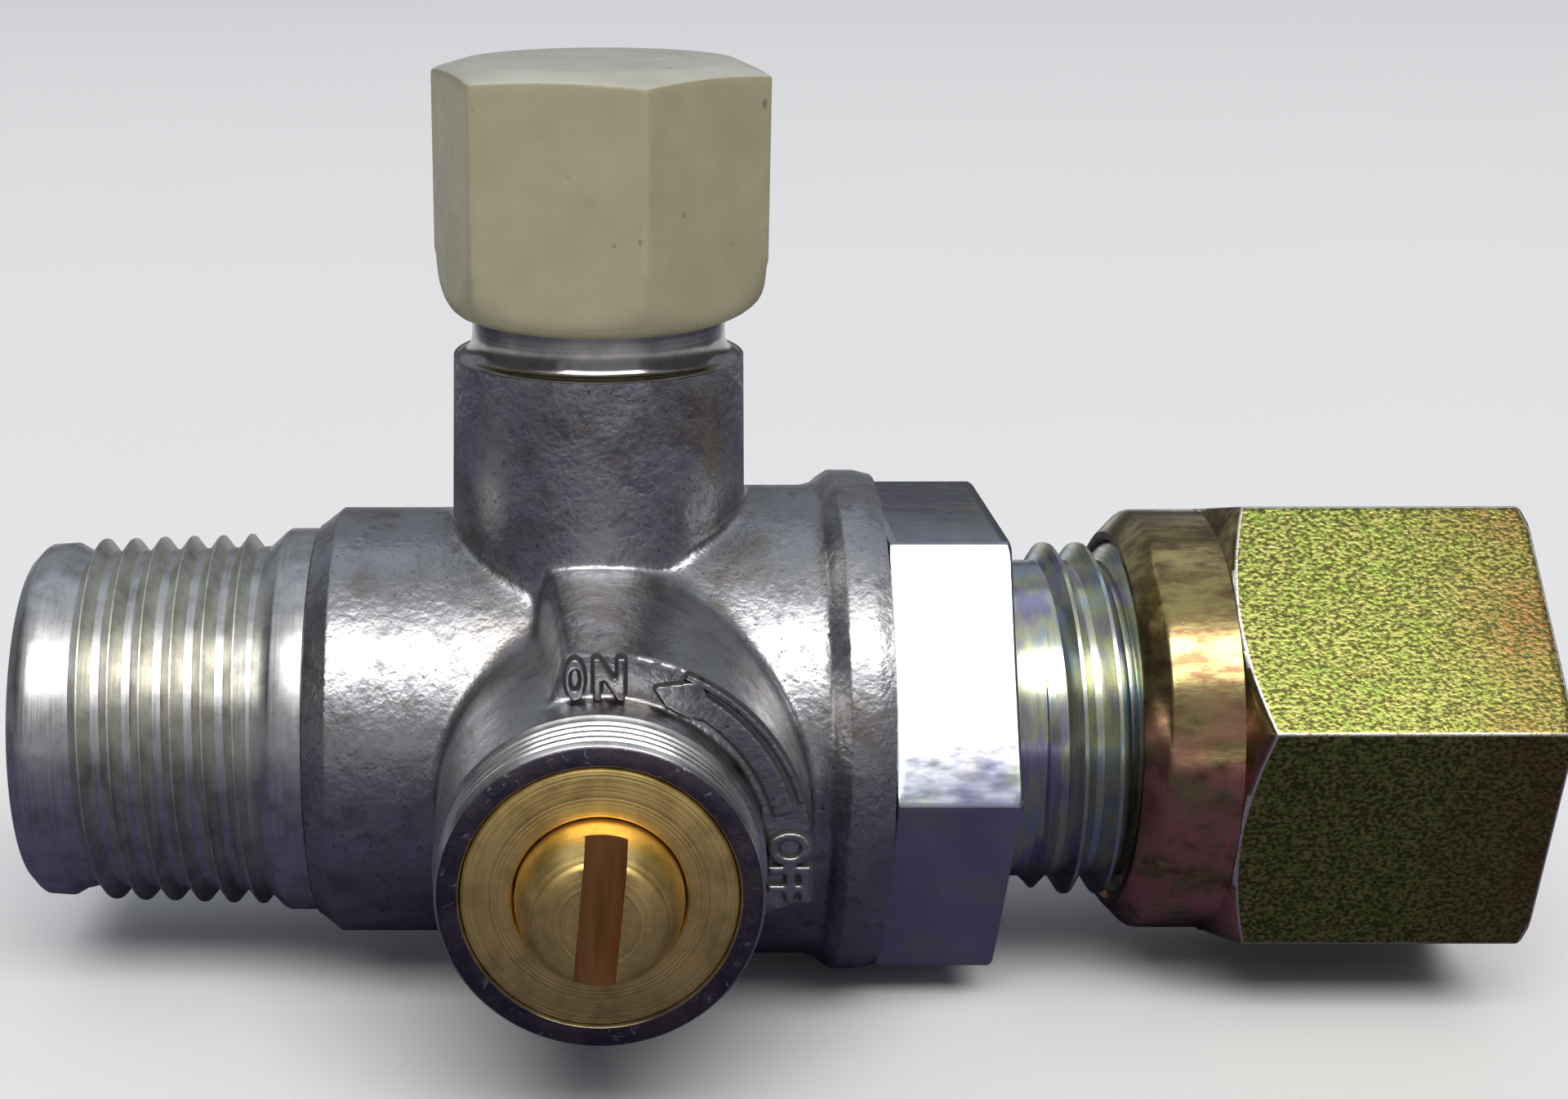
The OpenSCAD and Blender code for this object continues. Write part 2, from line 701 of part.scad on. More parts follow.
// Stud coupling: screwed shank, hexagon, undercut, outlet thread and tube seat
module stud_coupling() {
    thread_r = outlet_thread / 2;
    shank_r_in = socket_dia / 2 - run_fit;
    color("#c4c7cc")
    on_run() difference() {
        union() {
            turned([
                [0, shank_back], [shank_r_in - edge, shank_back], [shank_r_in, shank_back + edge],
                [shank_r_in, hex_back - 0.6], [shank_r_in - 0.4, hex_back - 0.5],
                [shank_r_in - 0.4, hex_back + 1], [0, hex_back + 1]
            ]);
            run_hexagon(stud_flats, stud_turn, hex_back, hex_front, 0.9, 0.25);
            turned([
                [0, hex_front - 1], [undercut_dia / 2, hex_front - 1],
                [undercut_dia / 2, stud_thread_back],
                [thread_r, stud_thread_back + thread_r - undercut_dia / 2],
                [thread_r, stud_end - 0.8], [thread_r - 0.8, stud_end], [0, stud_end]
            ]);
        }
        translate([0, 0, shank_back - 1]) cylinder(d = flow_hole, h = stud_end);
        translate([0, 0, tube_stop]) cylinder(r = tube_r, h = tube_depth + 1);
        turned([
            [0, stud_end - (cone_mouth_r - tube_r) / cone_tan - 0.1],
            [tube_r, stud_end - (cone_mouth_r - tube_r) / cone_tan],
            [cone_mouth_r, stud_end], [cone_mouth_r, stud_end + 1], [0, stud_end + 1]
        ]);
        tube_ring(seal_groove_in, seal_groove_in + seal_width, hex_back - 1, hex_back + seal_depth);
    }
}

module coupling_seal() {
    color("#2d2d2f")
    on_run() tube_ring(seal_groove_in + set_fit, seal_groove_in + seal_width - set_fit,
        outlet_face + set_fit, hex_back + seal_depth - set_fit);
}

// Cutting ring: cone towards the coupling, collar, and a cone towards the nut
module cutting_ring() {
    lead = cone_mouth_r - (stud_end - ring_back) * cone_tan - face_gap;
    collar_at = stud_end + 0.3;
    color("#b9a873")
    on_run() turned([
        [tube_r, ring_back], [lead, ring_back], [cone_mouth_r - face_gap, stud_end],
        [ring_collar_r, collar_at], [ring_collar_r, nut_cone_x(ring_collar_r) - ring_gap],
        [tube_r + edge, nut_cone_x(tube_r + edge) - ring_gap],
        [tube_r, nut_cone_x(tube_r + edge) - ring_gap]
    ]);
}

// Compression nut: hub, hexagon, thread bore and the seat for the cutting ring
module compression_nut() {
    hub_front = nut_back + hub_len;
    color("#b7a04a")
    on_run() difference() {
        union() {
            turned([
                [0, nut_back], [hub_dia / 2 - 1, nut_back], [hub_dia / 2, nut_back + 1],
                [hub_dia / 2, hub_front + 1], [0, hub_front + 1]
            ]);
            run_hexagon(nut_flats, nut_turn, hub_front, nut_front,
                nut_flats / sqrt(3) - hub_dia / 2 + 0.05, 0.6);
        }
        translate([0, 0, nut_back - 1]) cylinder(r = tube_r + run_fit, h = nut_len + 2);
        turned([
            [0, nut_back - 1], [nut_bore_r + 1.1, nut_back - 1], [nut_bore_r + 0.1, nut_back + 0.1],
            [nut_bore_r, nut_back + 0.3], [nut_bore_r, nut_cone_x(nut_bore_r)],
            [tube_r + run_fit, nut_cone_front], [0, nut_cone_front]
        ]);
    }
}

valve_body();
cap();
cap_gasket();
regulating_spindle();
spindle_o_ring();
spindle_bonnet();
bonnet_gasket();
seat_insert();
shutoff_stem();
plug_sleeve();
stem_o_ring_front();
stem_o_ring_rear();
thrust_washer();
disc_spring();
gland_ring();
gland_o_ring();
stop_pin();
stud_coupling();
coupling_seal();
cutting_ring();
compression_nut();
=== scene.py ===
"""Looks of the regulating valve: cast body, cap, stem, coupling, nut and studio."""

import json
import math

import bpy
import numpy as np
from bpy.props import FloatProperty, FloatVectorProperty, PointerProperty
from mathutils import Matrix, Vector

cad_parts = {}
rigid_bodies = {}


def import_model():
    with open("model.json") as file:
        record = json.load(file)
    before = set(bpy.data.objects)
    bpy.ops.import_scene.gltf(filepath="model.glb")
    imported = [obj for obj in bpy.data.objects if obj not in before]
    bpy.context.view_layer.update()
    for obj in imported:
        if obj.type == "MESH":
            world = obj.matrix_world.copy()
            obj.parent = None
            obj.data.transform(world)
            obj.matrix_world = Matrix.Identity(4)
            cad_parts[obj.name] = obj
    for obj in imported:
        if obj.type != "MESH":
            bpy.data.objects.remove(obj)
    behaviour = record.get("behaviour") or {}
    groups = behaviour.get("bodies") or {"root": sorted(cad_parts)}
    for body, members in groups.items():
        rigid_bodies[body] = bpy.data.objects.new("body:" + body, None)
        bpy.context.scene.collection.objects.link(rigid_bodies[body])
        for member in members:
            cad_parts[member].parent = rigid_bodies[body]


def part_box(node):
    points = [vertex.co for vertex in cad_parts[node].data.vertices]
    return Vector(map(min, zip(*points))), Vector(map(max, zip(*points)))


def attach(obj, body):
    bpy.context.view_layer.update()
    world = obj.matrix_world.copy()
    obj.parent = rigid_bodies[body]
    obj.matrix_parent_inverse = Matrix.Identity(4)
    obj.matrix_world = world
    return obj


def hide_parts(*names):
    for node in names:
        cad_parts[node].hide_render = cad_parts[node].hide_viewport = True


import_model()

bl_info = {
    "name": "Regulating Valve Looks",
    "version": (1, 0, 0),
    "blender": (4, 5, 0),
    "location": "3D View > Sidebar > Valve",
    "description": "Models and finishes the visible pieces of a regulating valve",
    "category": "Object",
}

# Boxes of the solids, in metres, that the sizes below start from
BODY_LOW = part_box("valve_body")[0]
CAP_LOW, CAP_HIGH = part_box("cap")
STEM_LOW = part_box("shutoff_stem")[0]
NUT_LOW, NUT_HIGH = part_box("compression_nut")
GLAND_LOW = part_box("gland_ring")[0]

MILLIMETRE = 0.001
CENTRE = (CAP_LOW.x + CAP_HIGH.x) / 2 / MILLIMETRE
BOSS_FACE = -GLAND_LOW.y / MILLIMETRE
STEM_FACE = -STEM_LOW.y / MILLIMETRE

# The taper thread's crest radius is measured here, and grows by half the taper of 1 in 16
GAUGE_STATION = 6.35
TAPER = 1 / 32

# Heights and stations of the machined parts, in millimetres
SPIGOT_TOP = 24.5
CHAMBER_RADIUS = 5.02
GLAND_SEAT = 15.2
OUTLET_END = 56.9


def length(name, description, default):
    """A size in metres, given here in millimetres."""
    return FloatProperty(
        name=name, description=description, default=default * MILLIMETRE,
        unit="LENGTH", subtype="DISTANCE", precision=5,
    )


def turning(name, description, degrees):
    return FloatProperty(
        name=name, description=description, default=math.radians(degrees),
        subtype="ANGLE", unit="ROTATION",
    )


def colour(name, description, default):
    return FloatVectorProperty(
        name=name, description=description, default=default, size=4, subtype="COLOR",
        min=0.0, max=1.0,
    )


class CastingSizes(bpy.types.PropertyGroup):
    barrel_in: length("Barrel in", "Barrel radius on the inlet side", 9.65)
    barrel_out: length("Barrel out", "Barrel radius on the outlet side", 10.65)
    bead: length("Bead", "Crest radius of the bead round the outlet", 11.35)
    neck_foot: length("Neck foot", "Neck radius in the barrel", 6.475)
    neck_top: length("Neck top", "Neck radius under the rim", 6.3)
    neck_height: length("Neck height", "Height of the neck rim", 17.05)
    boss_foot: length("Boss foot", "Boss radius in the barrel", 6.9)
    boss_top: length("Boss top", "Boss radius behind the turned rim", 6.5)
    boss_cast: length("Cast boss", "Distance where the cast boss ends", 16.9)
    rim: length("Rim", "Radius of the turned rim of the boss", 6.35)
    pad_face: length("Pad face", "Distance of the pad's face from the axis", 15.3)
    pad_radius: length("Pad radius", "Radius of the pad at its face", 8.45)
    pad_draft: length("Pad draft", "Radius gained by the pad down to the axis", 1.1)
    pad_back: length("Pad back", "Distance of the pad's back from the axis, inside the barrel", 3)
    neck_fillet: length("Neck fillet", "Blend between neck and barrel", 0.5)
    boss_fillet: length("Boss fillet", "Blend between boss and barrel", 0.55)
    pad_fillet: length("Pad fillet", "Blend between pad and boss", 0.4)
    pad_edge: length("Pad edge", "Rounding of the pad's edges", 0.3)
    grain: length("Grain size", "Spacing of the casting's skin mesh", 0.25)
    cast_start: length("Cast start", "Station where the cast skin begins", 12.85)
    cast_end: length("Cast end", "Station where the cast skin ends", 37.65)


class ThreadSizes(bpy.types.PropertyGroup):
    inlet_pitch: length("Inlet pitch", "Pitch of the taper thread", 1.337)
    inlet_depth: length("Inlet depth", "Depth of the taper thread", 0.58)
    inlet_gauge: length("Inlet crest", "Crest radius at the gauge plane", 8.33)
    inlet_end: length("Inlet thread end", "Where the taper thread runs out", 10.95)
    ring: length("Ring", "Radius of the plain ring behind the thread", 8.7)
    outlet_pitch: length("Outlet pitch", "Pitch of the outlet thread", 1.5)
    outlet_depth: length("Outlet depth", "Depth of the outlet thread", 0.8)
    outlet_crest: length("Outlet crest", "Crest radius of the outlet thread", 8.0)
    cap_pitch: length("Cap pitch", "Pitch of the thread under the cap", 1.0)
    cap_root: length("Cap root", "Root radius of the thread under the cap", 4.95)
    cap_depth: length("Cap depth", "Depth of the thread under the cap", 0.53)
    cap_start: length("Cap start", "Height of the first turn under the cap", 19.6)


class HexagonSizes(bpy.types.PropertyGroup):
    cap_flats: length("Cap flats", "Half the width across the cap's flats", 6.5)
    cap_corner: length("Cap corner", "Rounding of the cap's corners", 0.35)
    cap_turn: turning("Cap turn", "How the cap stands", 45)
    cap_foot: length("Cap foot", "Rounding of the cap's foot", 2.25)
    cap_clear: length("Cap clearance", "Gap left under the cap's foot", 0.42)
    cap_bevel: length("Cap bevel", "Width of the bevel round the cap's top", 0.75)
    cap_edge: length("Cap edge", "Rounding of the cap's upper edge", 0.16)
    cap_bore: length("Cap bore", "Radius of the cap's bore", 5.55)
    stud_flats: length("Stud flats", "Half the width across the coupling's flats", 9.75)
    stud_corner: length("Stud corner", "Rounding of the coupling's corners", 0.12)
    stud_turn: turning("Stud turn", "How the coupling stands", 28.5)
    stud_back: length("Stud back", "Station of the hexagon's face against the casting", 37.7)
    stud_front: length("Stud front", "Station of the hexagon's face towards the thread", 42.9)
    stud_edge: length("Stud edge", "Rounding of the coupling's edges", 0.1)
    nut_flats: length("Nut flats", "Half the width across the nut's flats", 9.5)
    nut_corner: length("Nut corner", "Rounding of the nut's corners", 0.2)
    nut_turn: turning("Nut turn", "How the nut stands", 13)
    nut_hub: length("Nut hub", "Length of the nut's round hub", 4)
    nut_edge: length("Nut edge", "Rounding of the nut's edges", 0.14)
    face_slope: turning("Chamfer", "Slope of the chamfers on both hexagons", 30)


class StemSizes(bpy.types.PropertyGroup):
    dome: length("Dome", "Radius of the stem's domed end", 3.25)
    end: length("End face", "Radius of the stem's flat end", 2.4)
    slot: length("Slot", "Width of the screwdriver slot", 1.6)
    slot_depth: length("Slot depth", "Depth of the screwdriver slot", 1.3)
    lean: turning("Slot lean", "Lean of the slot towards OFF", 5)


class MetalColours(bpy.types.PropertyGroup):
    casting: colour("Casting", "Bare cast metal", (0.48, 0.48, 0.5, 1))
    stain: colour("Stain", "Brown stains on the casting", (0.27, 0.23, 0.20, 1))
    turned: colour("Turned metal", "Bare turned metal", (0.62, 0.62, 0.62, 1))
    thread: colour("Thread", "Taper thread of the inlet", (0.70, 0.69, 0.62, 1))
    brass: colour("Brass", "Turned brass", (1.0, 0.73, 0.26, 1))
    # Darker brass for the slot: tarnish, and painted shade for the recess between the slot's walls
    slot: colour("Slot", "Dull brass in the slot", (0.66, 0.32, 0.10, 1))
    plastic: colour("Cap plastic", "Beige plastic", (0.365, 0.336, 0.219, 1))
    # Painted sheen: a lighter, greyer copy of the beige for faces turned upward, standing in for the light
    # they catch from above
    painted_sheen: colour("Plastic with painted sheen", "Top of the cap", (0.54, 0.54, 0.49, 1))
    clear_zinc: colour("Clear zinc", "Blue-white zinc plate", (0.62, 0.64, 0.70, 1))
    yellow_zinc: colour("Yellow zinc", "Yellow chromate", (0.46, 0.44, 0.13, 1))
    rust_zinc: colour("Orange zinc", "Orange parts of the chromate", (0.34, 0.18, 0.07, 1))


class StudioLook(bpy.types.PropertyGroup):
    floor: colour("Floor", "Pale studio floor", (0.97, 0.97, 0.97, 1))
    card: colour("Dark card", "Dark card under the valve, for reflections alone", (0.07, 0.065, 0.12, 1))
    key: FloatProperty(name="Key lamp", description="Brightness of the key lamp", default=5.0)
    back: FloatProperty(name="Back lamp", description="Brightness of the back lamp", default=0.6)
    fill: FloatProperty(name="Fill", description="Brightness of the lamps above and in front", default=0.2)
    world: FloatProperty(name="World", description="Strength of the world", default=0.1)


class Millimetres:
    """Reads a property group's lengths in millimetres."""

    def __init__(self, group):
        self.group = group

    def __getattr__(self, name):
        return getattr(self.group, name) / MILLIMETRE


def sizes(name):
    return Millimetres(getattr(bpy.context.scene, name))


# Modelling helpers; pieces are drawn in millimetres along X


def fresh(active=None):
    """Leaves object mode with nothing selected, or with one piece."""
    if bpy.context.object and bpy.context.object.mode != "OBJECT":
        bpy.ops.object.mode_set(mode="OBJECT")
    bpy.ops.object.select_all(action="DESELECT")
    if active:
        active.select_set(True)
        bpy.context.view_layer.objects.active = active


def drawn(name, points, closed=False):
    """An outline in the XY plane, extruded point by point."""
    fresh()
    bpy.ops.mesh.primitive_plane_add(size=1)
    piece = bpy.context.object
    piece.name = name
    bpy.ops.object.mode_set(mode="EDIT")
    bpy.ops.mesh.merge(type="CENTER")
    bpy.ops.transform.translate(value=(points[0][0], points[0][1], 0))
    path = list(points) + ([points[0]] if closed else [])
    for here, there in zip(path, path[1:]):
        step = (there[0] - here[0], there[1] - here[1], 0)
        bpy.ops.mesh.extrude_vertices_move(TRANSFORM_OT_translate={"value": step})
    bpy.ops.mesh.select_all(action="SELECT")
    bpy.ops.mesh.remove_doubles(threshold=0.0005)
    return piece


def turned(name, points, closed=False, steps=96):
    """A solid of revolution about X from (station, radius) points."""
    piece = drawn(name, points, closed)
    bpy.ops.mesh.select_all(action="SELECT")
    bpy.ops.mesh.spin(steps=steps, angle=2 * math.pi, center=(0, 0, 0), axis=(1, 0, 0))
    tidy_shell()
    return piece


def tidy_shell():
    bpy.ops.mesh.select_all(action="SELECT")
    bpy.ops.mesh.remove_doubles(threshold=0.0005)
    bpy.ops.mesh.normals_make_consistent(inside=False)
    bpy.ops.object.mode_set(mode="OBJECT")


def applied(piece, kind, **settings):
    """Adds a modifier, sets it and applies it."""
    modifier = piece.modifiers.new(kind.lower(), kind)
    for key, value in settings.items():
        setattr(modifier, key, value)
    fresh(piece)
    bpy.ops.object.modifier_apply(modifier=modifier.name)
    return piece


def combined(piece, other, operation):
    applied(piece, "BOOLEAN", operation=operation, solver="MANIFOLD", object=other)
    bpy.data.objects.remove(other)
    return piece


def placed(piece, matrix):
    piece.data.transform(matrix)
    return piece


ON_NECK = Matrix.Translation((CENTRE, 0, 0)) @ Matrix.Rotation(-math.pi / 2, 4, "Y")
ON_BOSS = Matrix.Translation((CENTRE, 0, 0)) @ Matrix.Rotation(-math.pi / 2, 4, "Z")


def finished(piece, body, slot, *nodes, angle=32, materials=()):
    """Scales a piece to metres, smooths it and gives it its place in the valve."""
    fresh(piece)
    if len(materials) == 1:
        piece.data.polygons.foreach_set("material_index", [0] * len(piece.data.polygons))
    piece.scale = (MILLIMETRE, MILLIMETRE, MILLIMETRE)
    bpy.ops.object.transform_apply(location=True, rotation=True, scale=True)
    bpy.ops.object.shade_smooth_by_angle(angle=math.radians(angle))
    kinds = [face.material_index for face in piece.data.polygons]
    piece.data.materials.clear()
    for material in materials:
        piece.data.materials.append(material)
    piece.data.polygons.foreach_set("material_index", kinds)
    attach(piece, body)
    if nodes:
        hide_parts(*nodes)
    return piece


def corners(piece):
    """The vertices of a piece as an array."""
    flat = np.empty(len(piece.data.vertices) * 3)
    piece.data.vertices.foreach_get("co", flat)
    return flat.reshape(-1, 3)


def move_corners(piece, places):
    piece.data.vertices.foreach_set("co", np.asarray(places, float).ravel())
    piece.data.update()


def arc(x, y, radius, start, stop, steps):
    """Points of an arc, with angles in degrees."""
    turn = [math.radians(start + (stop - start) * i / steps) for i in range(steps + 1)]
    return [(x + radius * math.cos(a), y + radius * math.sin(a)) for a in turn]


# Distance fields that round the casting's joints

# End walls of the sector pad: a point on each, its heading, and the side that is cut off
PAD_WALLS = ((-1.66, 7.3, 75, 1), (7.75, -2.2, 20.4, -1))


def outline_distance(outline, station, radius):
    """Signed distance to a closed outline, negative inside."""
    points = np.array(outline, float)
    nearest = np.full(station.shape, 1e9)
    inside = np.zeros(station.shape, bool)
    for (ax, ay), (bx, by) in zip(points, np.roll(points, -1, axis=0)):
        ex, ey = bx - ax, by - ay
        wx, wy = station - ax, radius - ay
        along = np.clip((wx * ex + wy * ey) / (ex * ex + ey * ey + 1e-12), 0, 1)
        nearest = np.minimum(nearest, (wx - ex * along) ** 2 + (wy - ey * along) ** 2)
        crosses = ((ay > radius) != (by > radius)) & (
            station < (bx - ax) * (radius - ay) / (by - ay + 1e-12) + ax
        )
        inside ^= crosses
    return np.where(inside, -1, 1) * np.sqrt(nearest)


def blended(a, b, width):
    """The smaller of two distances, with a rounded blend."""
    overlap = np.maximum(width - np.abs(a - b), 0) / width
    return np.minimum(a, b) - overlap * overlap * width / 4


def carved(a, b, width):
    """The larger of two distances, with a rounded edge."""
    return -blended(-a, -b, width)


class CastingField:
    """Distance to the cast skin of the valve body."""

    def __init__(self, s):
        self.s = s
        self.barrel = [
            (11, -20), (11, 8.2), (12.85, 8.86), (13.85, s.barrel_in),
            (23.4, s.barrel_in), (26, 9.98), (29.4, s.barrel_out), (34.6, s.barrel_out),
            (35.05, s.barrel_out + 0.12), (35.35, s.bead - 0.3), (35.8, s.bead - 0.02),
            (36.9, s.bead - 0.02), (37.45, s.bead - 0.15), (39, s.bead - 0.5), (39, -20),
        ]
        self.neck = [(0, -20), (0, s.neck_foot), (9.65, s.neck_foot), (18.2, s.neck_top), (18.2, -20)]
        self.boss = [(0, -20), (0, s.boss_foot), (7, s.boss_foot), (18, s.boss_top), (18, -20)]

    def pad(self, across, depth, height):
        s = self.s
        wall = s.pad_radius + s.pad_draft * (1 - depth / s.pad_face)
        distance = np.hypot(across, height) - wall
        draft = 0.1 * (s.pad_face - depth)
        for x, y, heading, side in PAD_WALLS:
            dx, dy = math.cos(math.radians(heading)), math.sin(math.radians(heading))
            edge = side * ((height - y) * dx - (across - x) * dy) - draft
            distance = carved(distance, edge, s.pad_edge)
        distance = np.maximum(distance, -(across + height) * 0.7)
        distance = np.maximum(distance, s.pad_back - depth)
        return carved(distance, depth - s.pad_face, s.pad_edge * 0.7)

    def __call__(self, places):
        s = self.s
        x, y, z = places.T
        across = x - CENTRE
        skin = outline_distance(self.barrel, x, np.hypot(y, z))
        neck = outline_distance(self.neck, z, np.hypot(across, y))
        skin = blended(skin, neck, s.neck_fillet)
        boss = outline_distance(self.boss, -y, np.hypot(across, z))
        skin = blended(skin, boss, s.boss_fillet)
        return blended(skin, self.pad(across, -y, z), s.pad_fillet)


def gradient(field, places, reach=0.02):
    slope = np.empty_like(places)
    for axis in range(3):
        step = np.zeros(3)
        step[axis] = reach
        slope[:, axis] = (field(places + step) - field(places - step)) / (2 * reach)
    return slope


def settled(piece, field, rounds=4):
    """Moves the vertices of a piece onto the zero of a field."""
    places = corners(piece)
    for _ in range(rounds):
        slope = gradient(field, places)
        steep = np.maximum((slope ** 2).sum(1), 0.3)
        places -= slope * (field(places) / steep)[:, None]
    move_corners(piece, places)
    return piece


# Threads and hexagons


def ramped(distance, run):
    """Rises from 0 to 1 over a run."""
    return min(1.0, max(0.0, distance / run))


def helix(name, profile, pitch, start, turns, steps=96):
    """A helical ridge about X; the profile is (station, radius) points round it."""
    fresh()
    piece = drawn(name, [(start + x, y) for x, y in profile], closed=True)
    bpy.ops.object.mode_set(mode="OBJECT")
    applied(
        piece, "SCREW", axis="X", screw_offset=pitch, iterations=turns, steps=steps,
        render_steps=steps, use_merge_vertices=False, use_smooth_shade=False,
    )
    fresh(piece)
    bpy.ops.object.mode_set(mode="EDIT")
    bpy.ops.mesh.select_all(action="DESELECT")
    bpy.ops.mesh.select_non_manifold(extend=False)
    bpy.ops.mesh.fill_holes(sides=0)
    tidy_shell()
    return piece


def ridge_profile(pitch, root_flat, crest_flat, depth, root, buried=0.5):
    """Section of a thread ridge: buried foot, flanks and crest."""
    foot, crest = (pitch - root_flat) / 2, crest_flat / 2
    return [
        (-foot, root - buried), (-foot, root - 0.01), (-crest, root + depth), (crest, root + depth),
        (foot, root - 0.01), (foot, root - buried),
    ]


def reshaped(ridge, shape):
    """Moves the corners of a ridge; shape turns (station, radius, angle) into (station, radius)."""
    places = corners(ridge)
    for i, (x, y, z) in enumerate(places):
        angle = math.atan2(z, y)
        x, radius = shape(x, math.hypot(y, z), angle)
        places[i] = (x, radius * math.cos(angle), radius * math.sin(angle))
    move_corners(ridge, places)


def sunk(radius, root, share):
    """A ridge's radius where only a share of the ridge stands out of its root."""
    return min(radius, root) + max(radius - root, 0.0) * share - (1 - share) * 0.1


def inlet_root(t, station=GAUGE_STATION):
    """Root radius of the taper thread."""
    return t.inlet_gauge - t.inlet_depth + (station - GAUGE_STATION) * TAPER


def hexagon_reach(angle, half_flat, rounding, turn):
    """Distance from the axis to the wall of a hexagon with rounded corners."""
    turn_in_sector = (angle - turn + math.pi / 6) % (math.pi / 3) - math.pi / 6
    off = abs(turn_in_sector)
    middle = (half_flat - rounding) / math.cos(math.pi / 6)
    tangent = math.atan2(rounding * 0.5, middle + rounding * math.cos(math.pi / 6))
    if off < tangent:
        return middle * math.cos(off) + math.sqrt(rounding ** 2 - (middle * math.sin(off)) ** 2)
    return half_flat / math.cos(math.pi / 6 - off)


def six_sided(name, kind, rows, sector_steps=24):
    """Turns a blank and moves its rows onto the hexagon of one kind: cap, stud or nut.

    A row is (station, radius) where it stays round, or a function of the wall's
    distance that gives both.
    """
    h = sizes("valve_hexagons")
    half_flat, rounding = getattr(h, kind + "_flats"), getattr(h, kind + "_corner")
    turn = getattr(h.group, kind + "_turn") - math.pi / 2
    corner = half_flat / math.cos(math.pi / 6)
    blank = [row(corner) if callable(row) else row for row in rows]
    blank = [(x + 0.001 * i, y) for i, (x, y) in enumerate(blank)]
    piece = turned(name, blank, closed=True, steps=6 * sector_steps)
    places = corners(piece)
    sector = math.pi / 3
    for i, (x, y, z) in enumerate(places):
        radius = math.hypot(y, z)
        row = min(range(len(blank)), key=lambda k: abs(blank[k][0] - x) + abs(blank[k][1] - radius))
        share = (math.atan2(z, y) % (2 * math.pi)) / sector
        part = share - math.floor(share)
        part -= math.sin(2 * math.pi * part) / (2 * math.pi) * 0.97
        angle = turn + (math.floor(share) + part) * sector
        place = rows[row]
        if callable(place):
            place = place(hexagon_reach(angle, half_flat, rounding, turn))
        places[i] = (place[0], place[1] * math.cos(angle), place[1] * math.sin(angle))
    move_corners(piece, places)
    fresh(piece)
    bpy.ops.object.mode_set(mode="EDIT")
    tidy_shell()
    return piece


def edge_rows(face, edge, side, margin):
    """Rows from a hexagon's wall over its rounded edge onto a chamfered end face.

    The face gives a station for a radius; the side is 1 at the front and -1 at the back.
    """
    return [
        lambda wall: (face(wall) - side * (edge + margin), wall),
        lambda wall: (face(wall) - side * edge, wall),
        lambda wall: (face(wall) - side * 0.3 * edge, wall - 0.3 * edge),
        lambda wall: (face(wall - edge), wall - edge),
    ]


# Materials


class Nodes:
    """Short hand for a material's node tree."""

    def __init__(self, name, **shader):
        self.material = bpy.data.materials.new(name)
        self.material.use_nodes = True
        self.tree = self.material.node_tree
        self.shader = self.tree.nodes["Principled BSDF"]
        for key, value in shader.items():
            self.shader.inputs[key.replace("_", " ")].default_value = value
        self.place = self.add("ShaderNodeTexCoord").outputs["Object"]

    def add(self, kind, **settings):
        node = self.tree.nodes.new(kind)
        for key, value in settings.items():
            setattr(node, key, value)
        return node

    def link(self, source, target):
        self.tree.links.new(source, target)

    def feed(self, socket, value):
        if isinstance(value, bpy.types.NodeSocket):
            self.link(value, socket)
        else:
            socket.default_value = value

    def noise(self, scale, detail=3.0, roughness=0.55, at=None, stretch=None, distortion=0.0):
        """Noise whose scale counts cells per millimetre."""
        at = at or self.place
        if stretch:
            mapping = self.add("ShaderNodeMapping")
            self.link(at, mapping.inputs["Vector"])
            mapping.inputs["Scale"].default_value = stretch
            at = mapping.outputs["Vector"]
        node = self.add("ShaderNodeTexNoise")
        self.link(at, node.inputs["Vector"])
        node.inputs["Scale"].default_value = scale / MILLIMETRE
        node.inputs["Detail"].default_value = detail
        node.inputs["Roughness"].default_value = roughness
        node.inputs["Distortion"].default_value = distortion
        return node.outputs["Fac"]

    def ramp(self, value, low, high, start=0.0, stop=1.0):
        node = self.add("ShaderNodeMapRange")
        self.feed(node.inputs["Value"], value)
        node.inputs["From Min"].default_value = low
        node.inputs["From Max"].default_value = high
        node.inputs["To Min"].default_value = start
        node.inputs["To Max"].default_value = stop
        return node.outputs["Result"]

    def mix(self, share, first, second):
        node = self.add("ShaderNodeMix", data_type="RGBA")
        self.feed(node.inputs["Factor"], share)
        self.feed(node.inputs[6], first)
        self.feed(node.inputs[7], second)
        return node.outputs[2]

    def maths(self, operation, first, second=0.0):
        node = self.add("ShaderNodeMath", operation=operation)
        self.feed(node.inputs[0], first)
        self.feed(node.inputs[1], second)
        return node.outputs[0]

    def bump(self, height, strength, distance=0.05):
        node = self.add("ShaderNodeBump")
        self.link(height, node.inputs["Height"])
        node.inputs["Strength"].default_value = strength
        node.inputs["Distance"].default_value = distance * MILLIMETRE
        self.link(node.outputs["Normal"], self.shader.inputs["Normal"])

    def paint(self, tone):
        self.link(tone, self.shader.inputs["Base Color"])

    def roughen(self, marks, low, high):
        """Lets the roughness run between two values with the marks."""
        self.link(self.ramp(marks, 0.3, 0.7, low, high), self.shader.inputs["Roughness"])

    def station(self, axis):
        """The place along one axis, in metres."""
        split = self.add("ShaderNodeSeparateXYZ")
        self.link(self.place, split.inputs[0])
        return split.outputs[axis]

    def stem_radius(self):
        """Distance from the stem's axis, in metres."""
        offsets = self.maths("SUBTRACT", self.station("X"), CENTRE * MILLIMETRE), self.station("Z")
        squares = [self.maths("MULTIPLY", off, off) for off in offsets]
        return self.maths("SQRT", self.maths("ADD", *squares))

    def along(self, value):
        """A vector that varies with one value alone."""
        join = self.add("ShaderNodeCombineXYZ")
        self.link(value, join.inputs["X"])
        return join.outputs[0]


def darker(tint, share):
    return [c * share for c in tint[:3]] + [1]


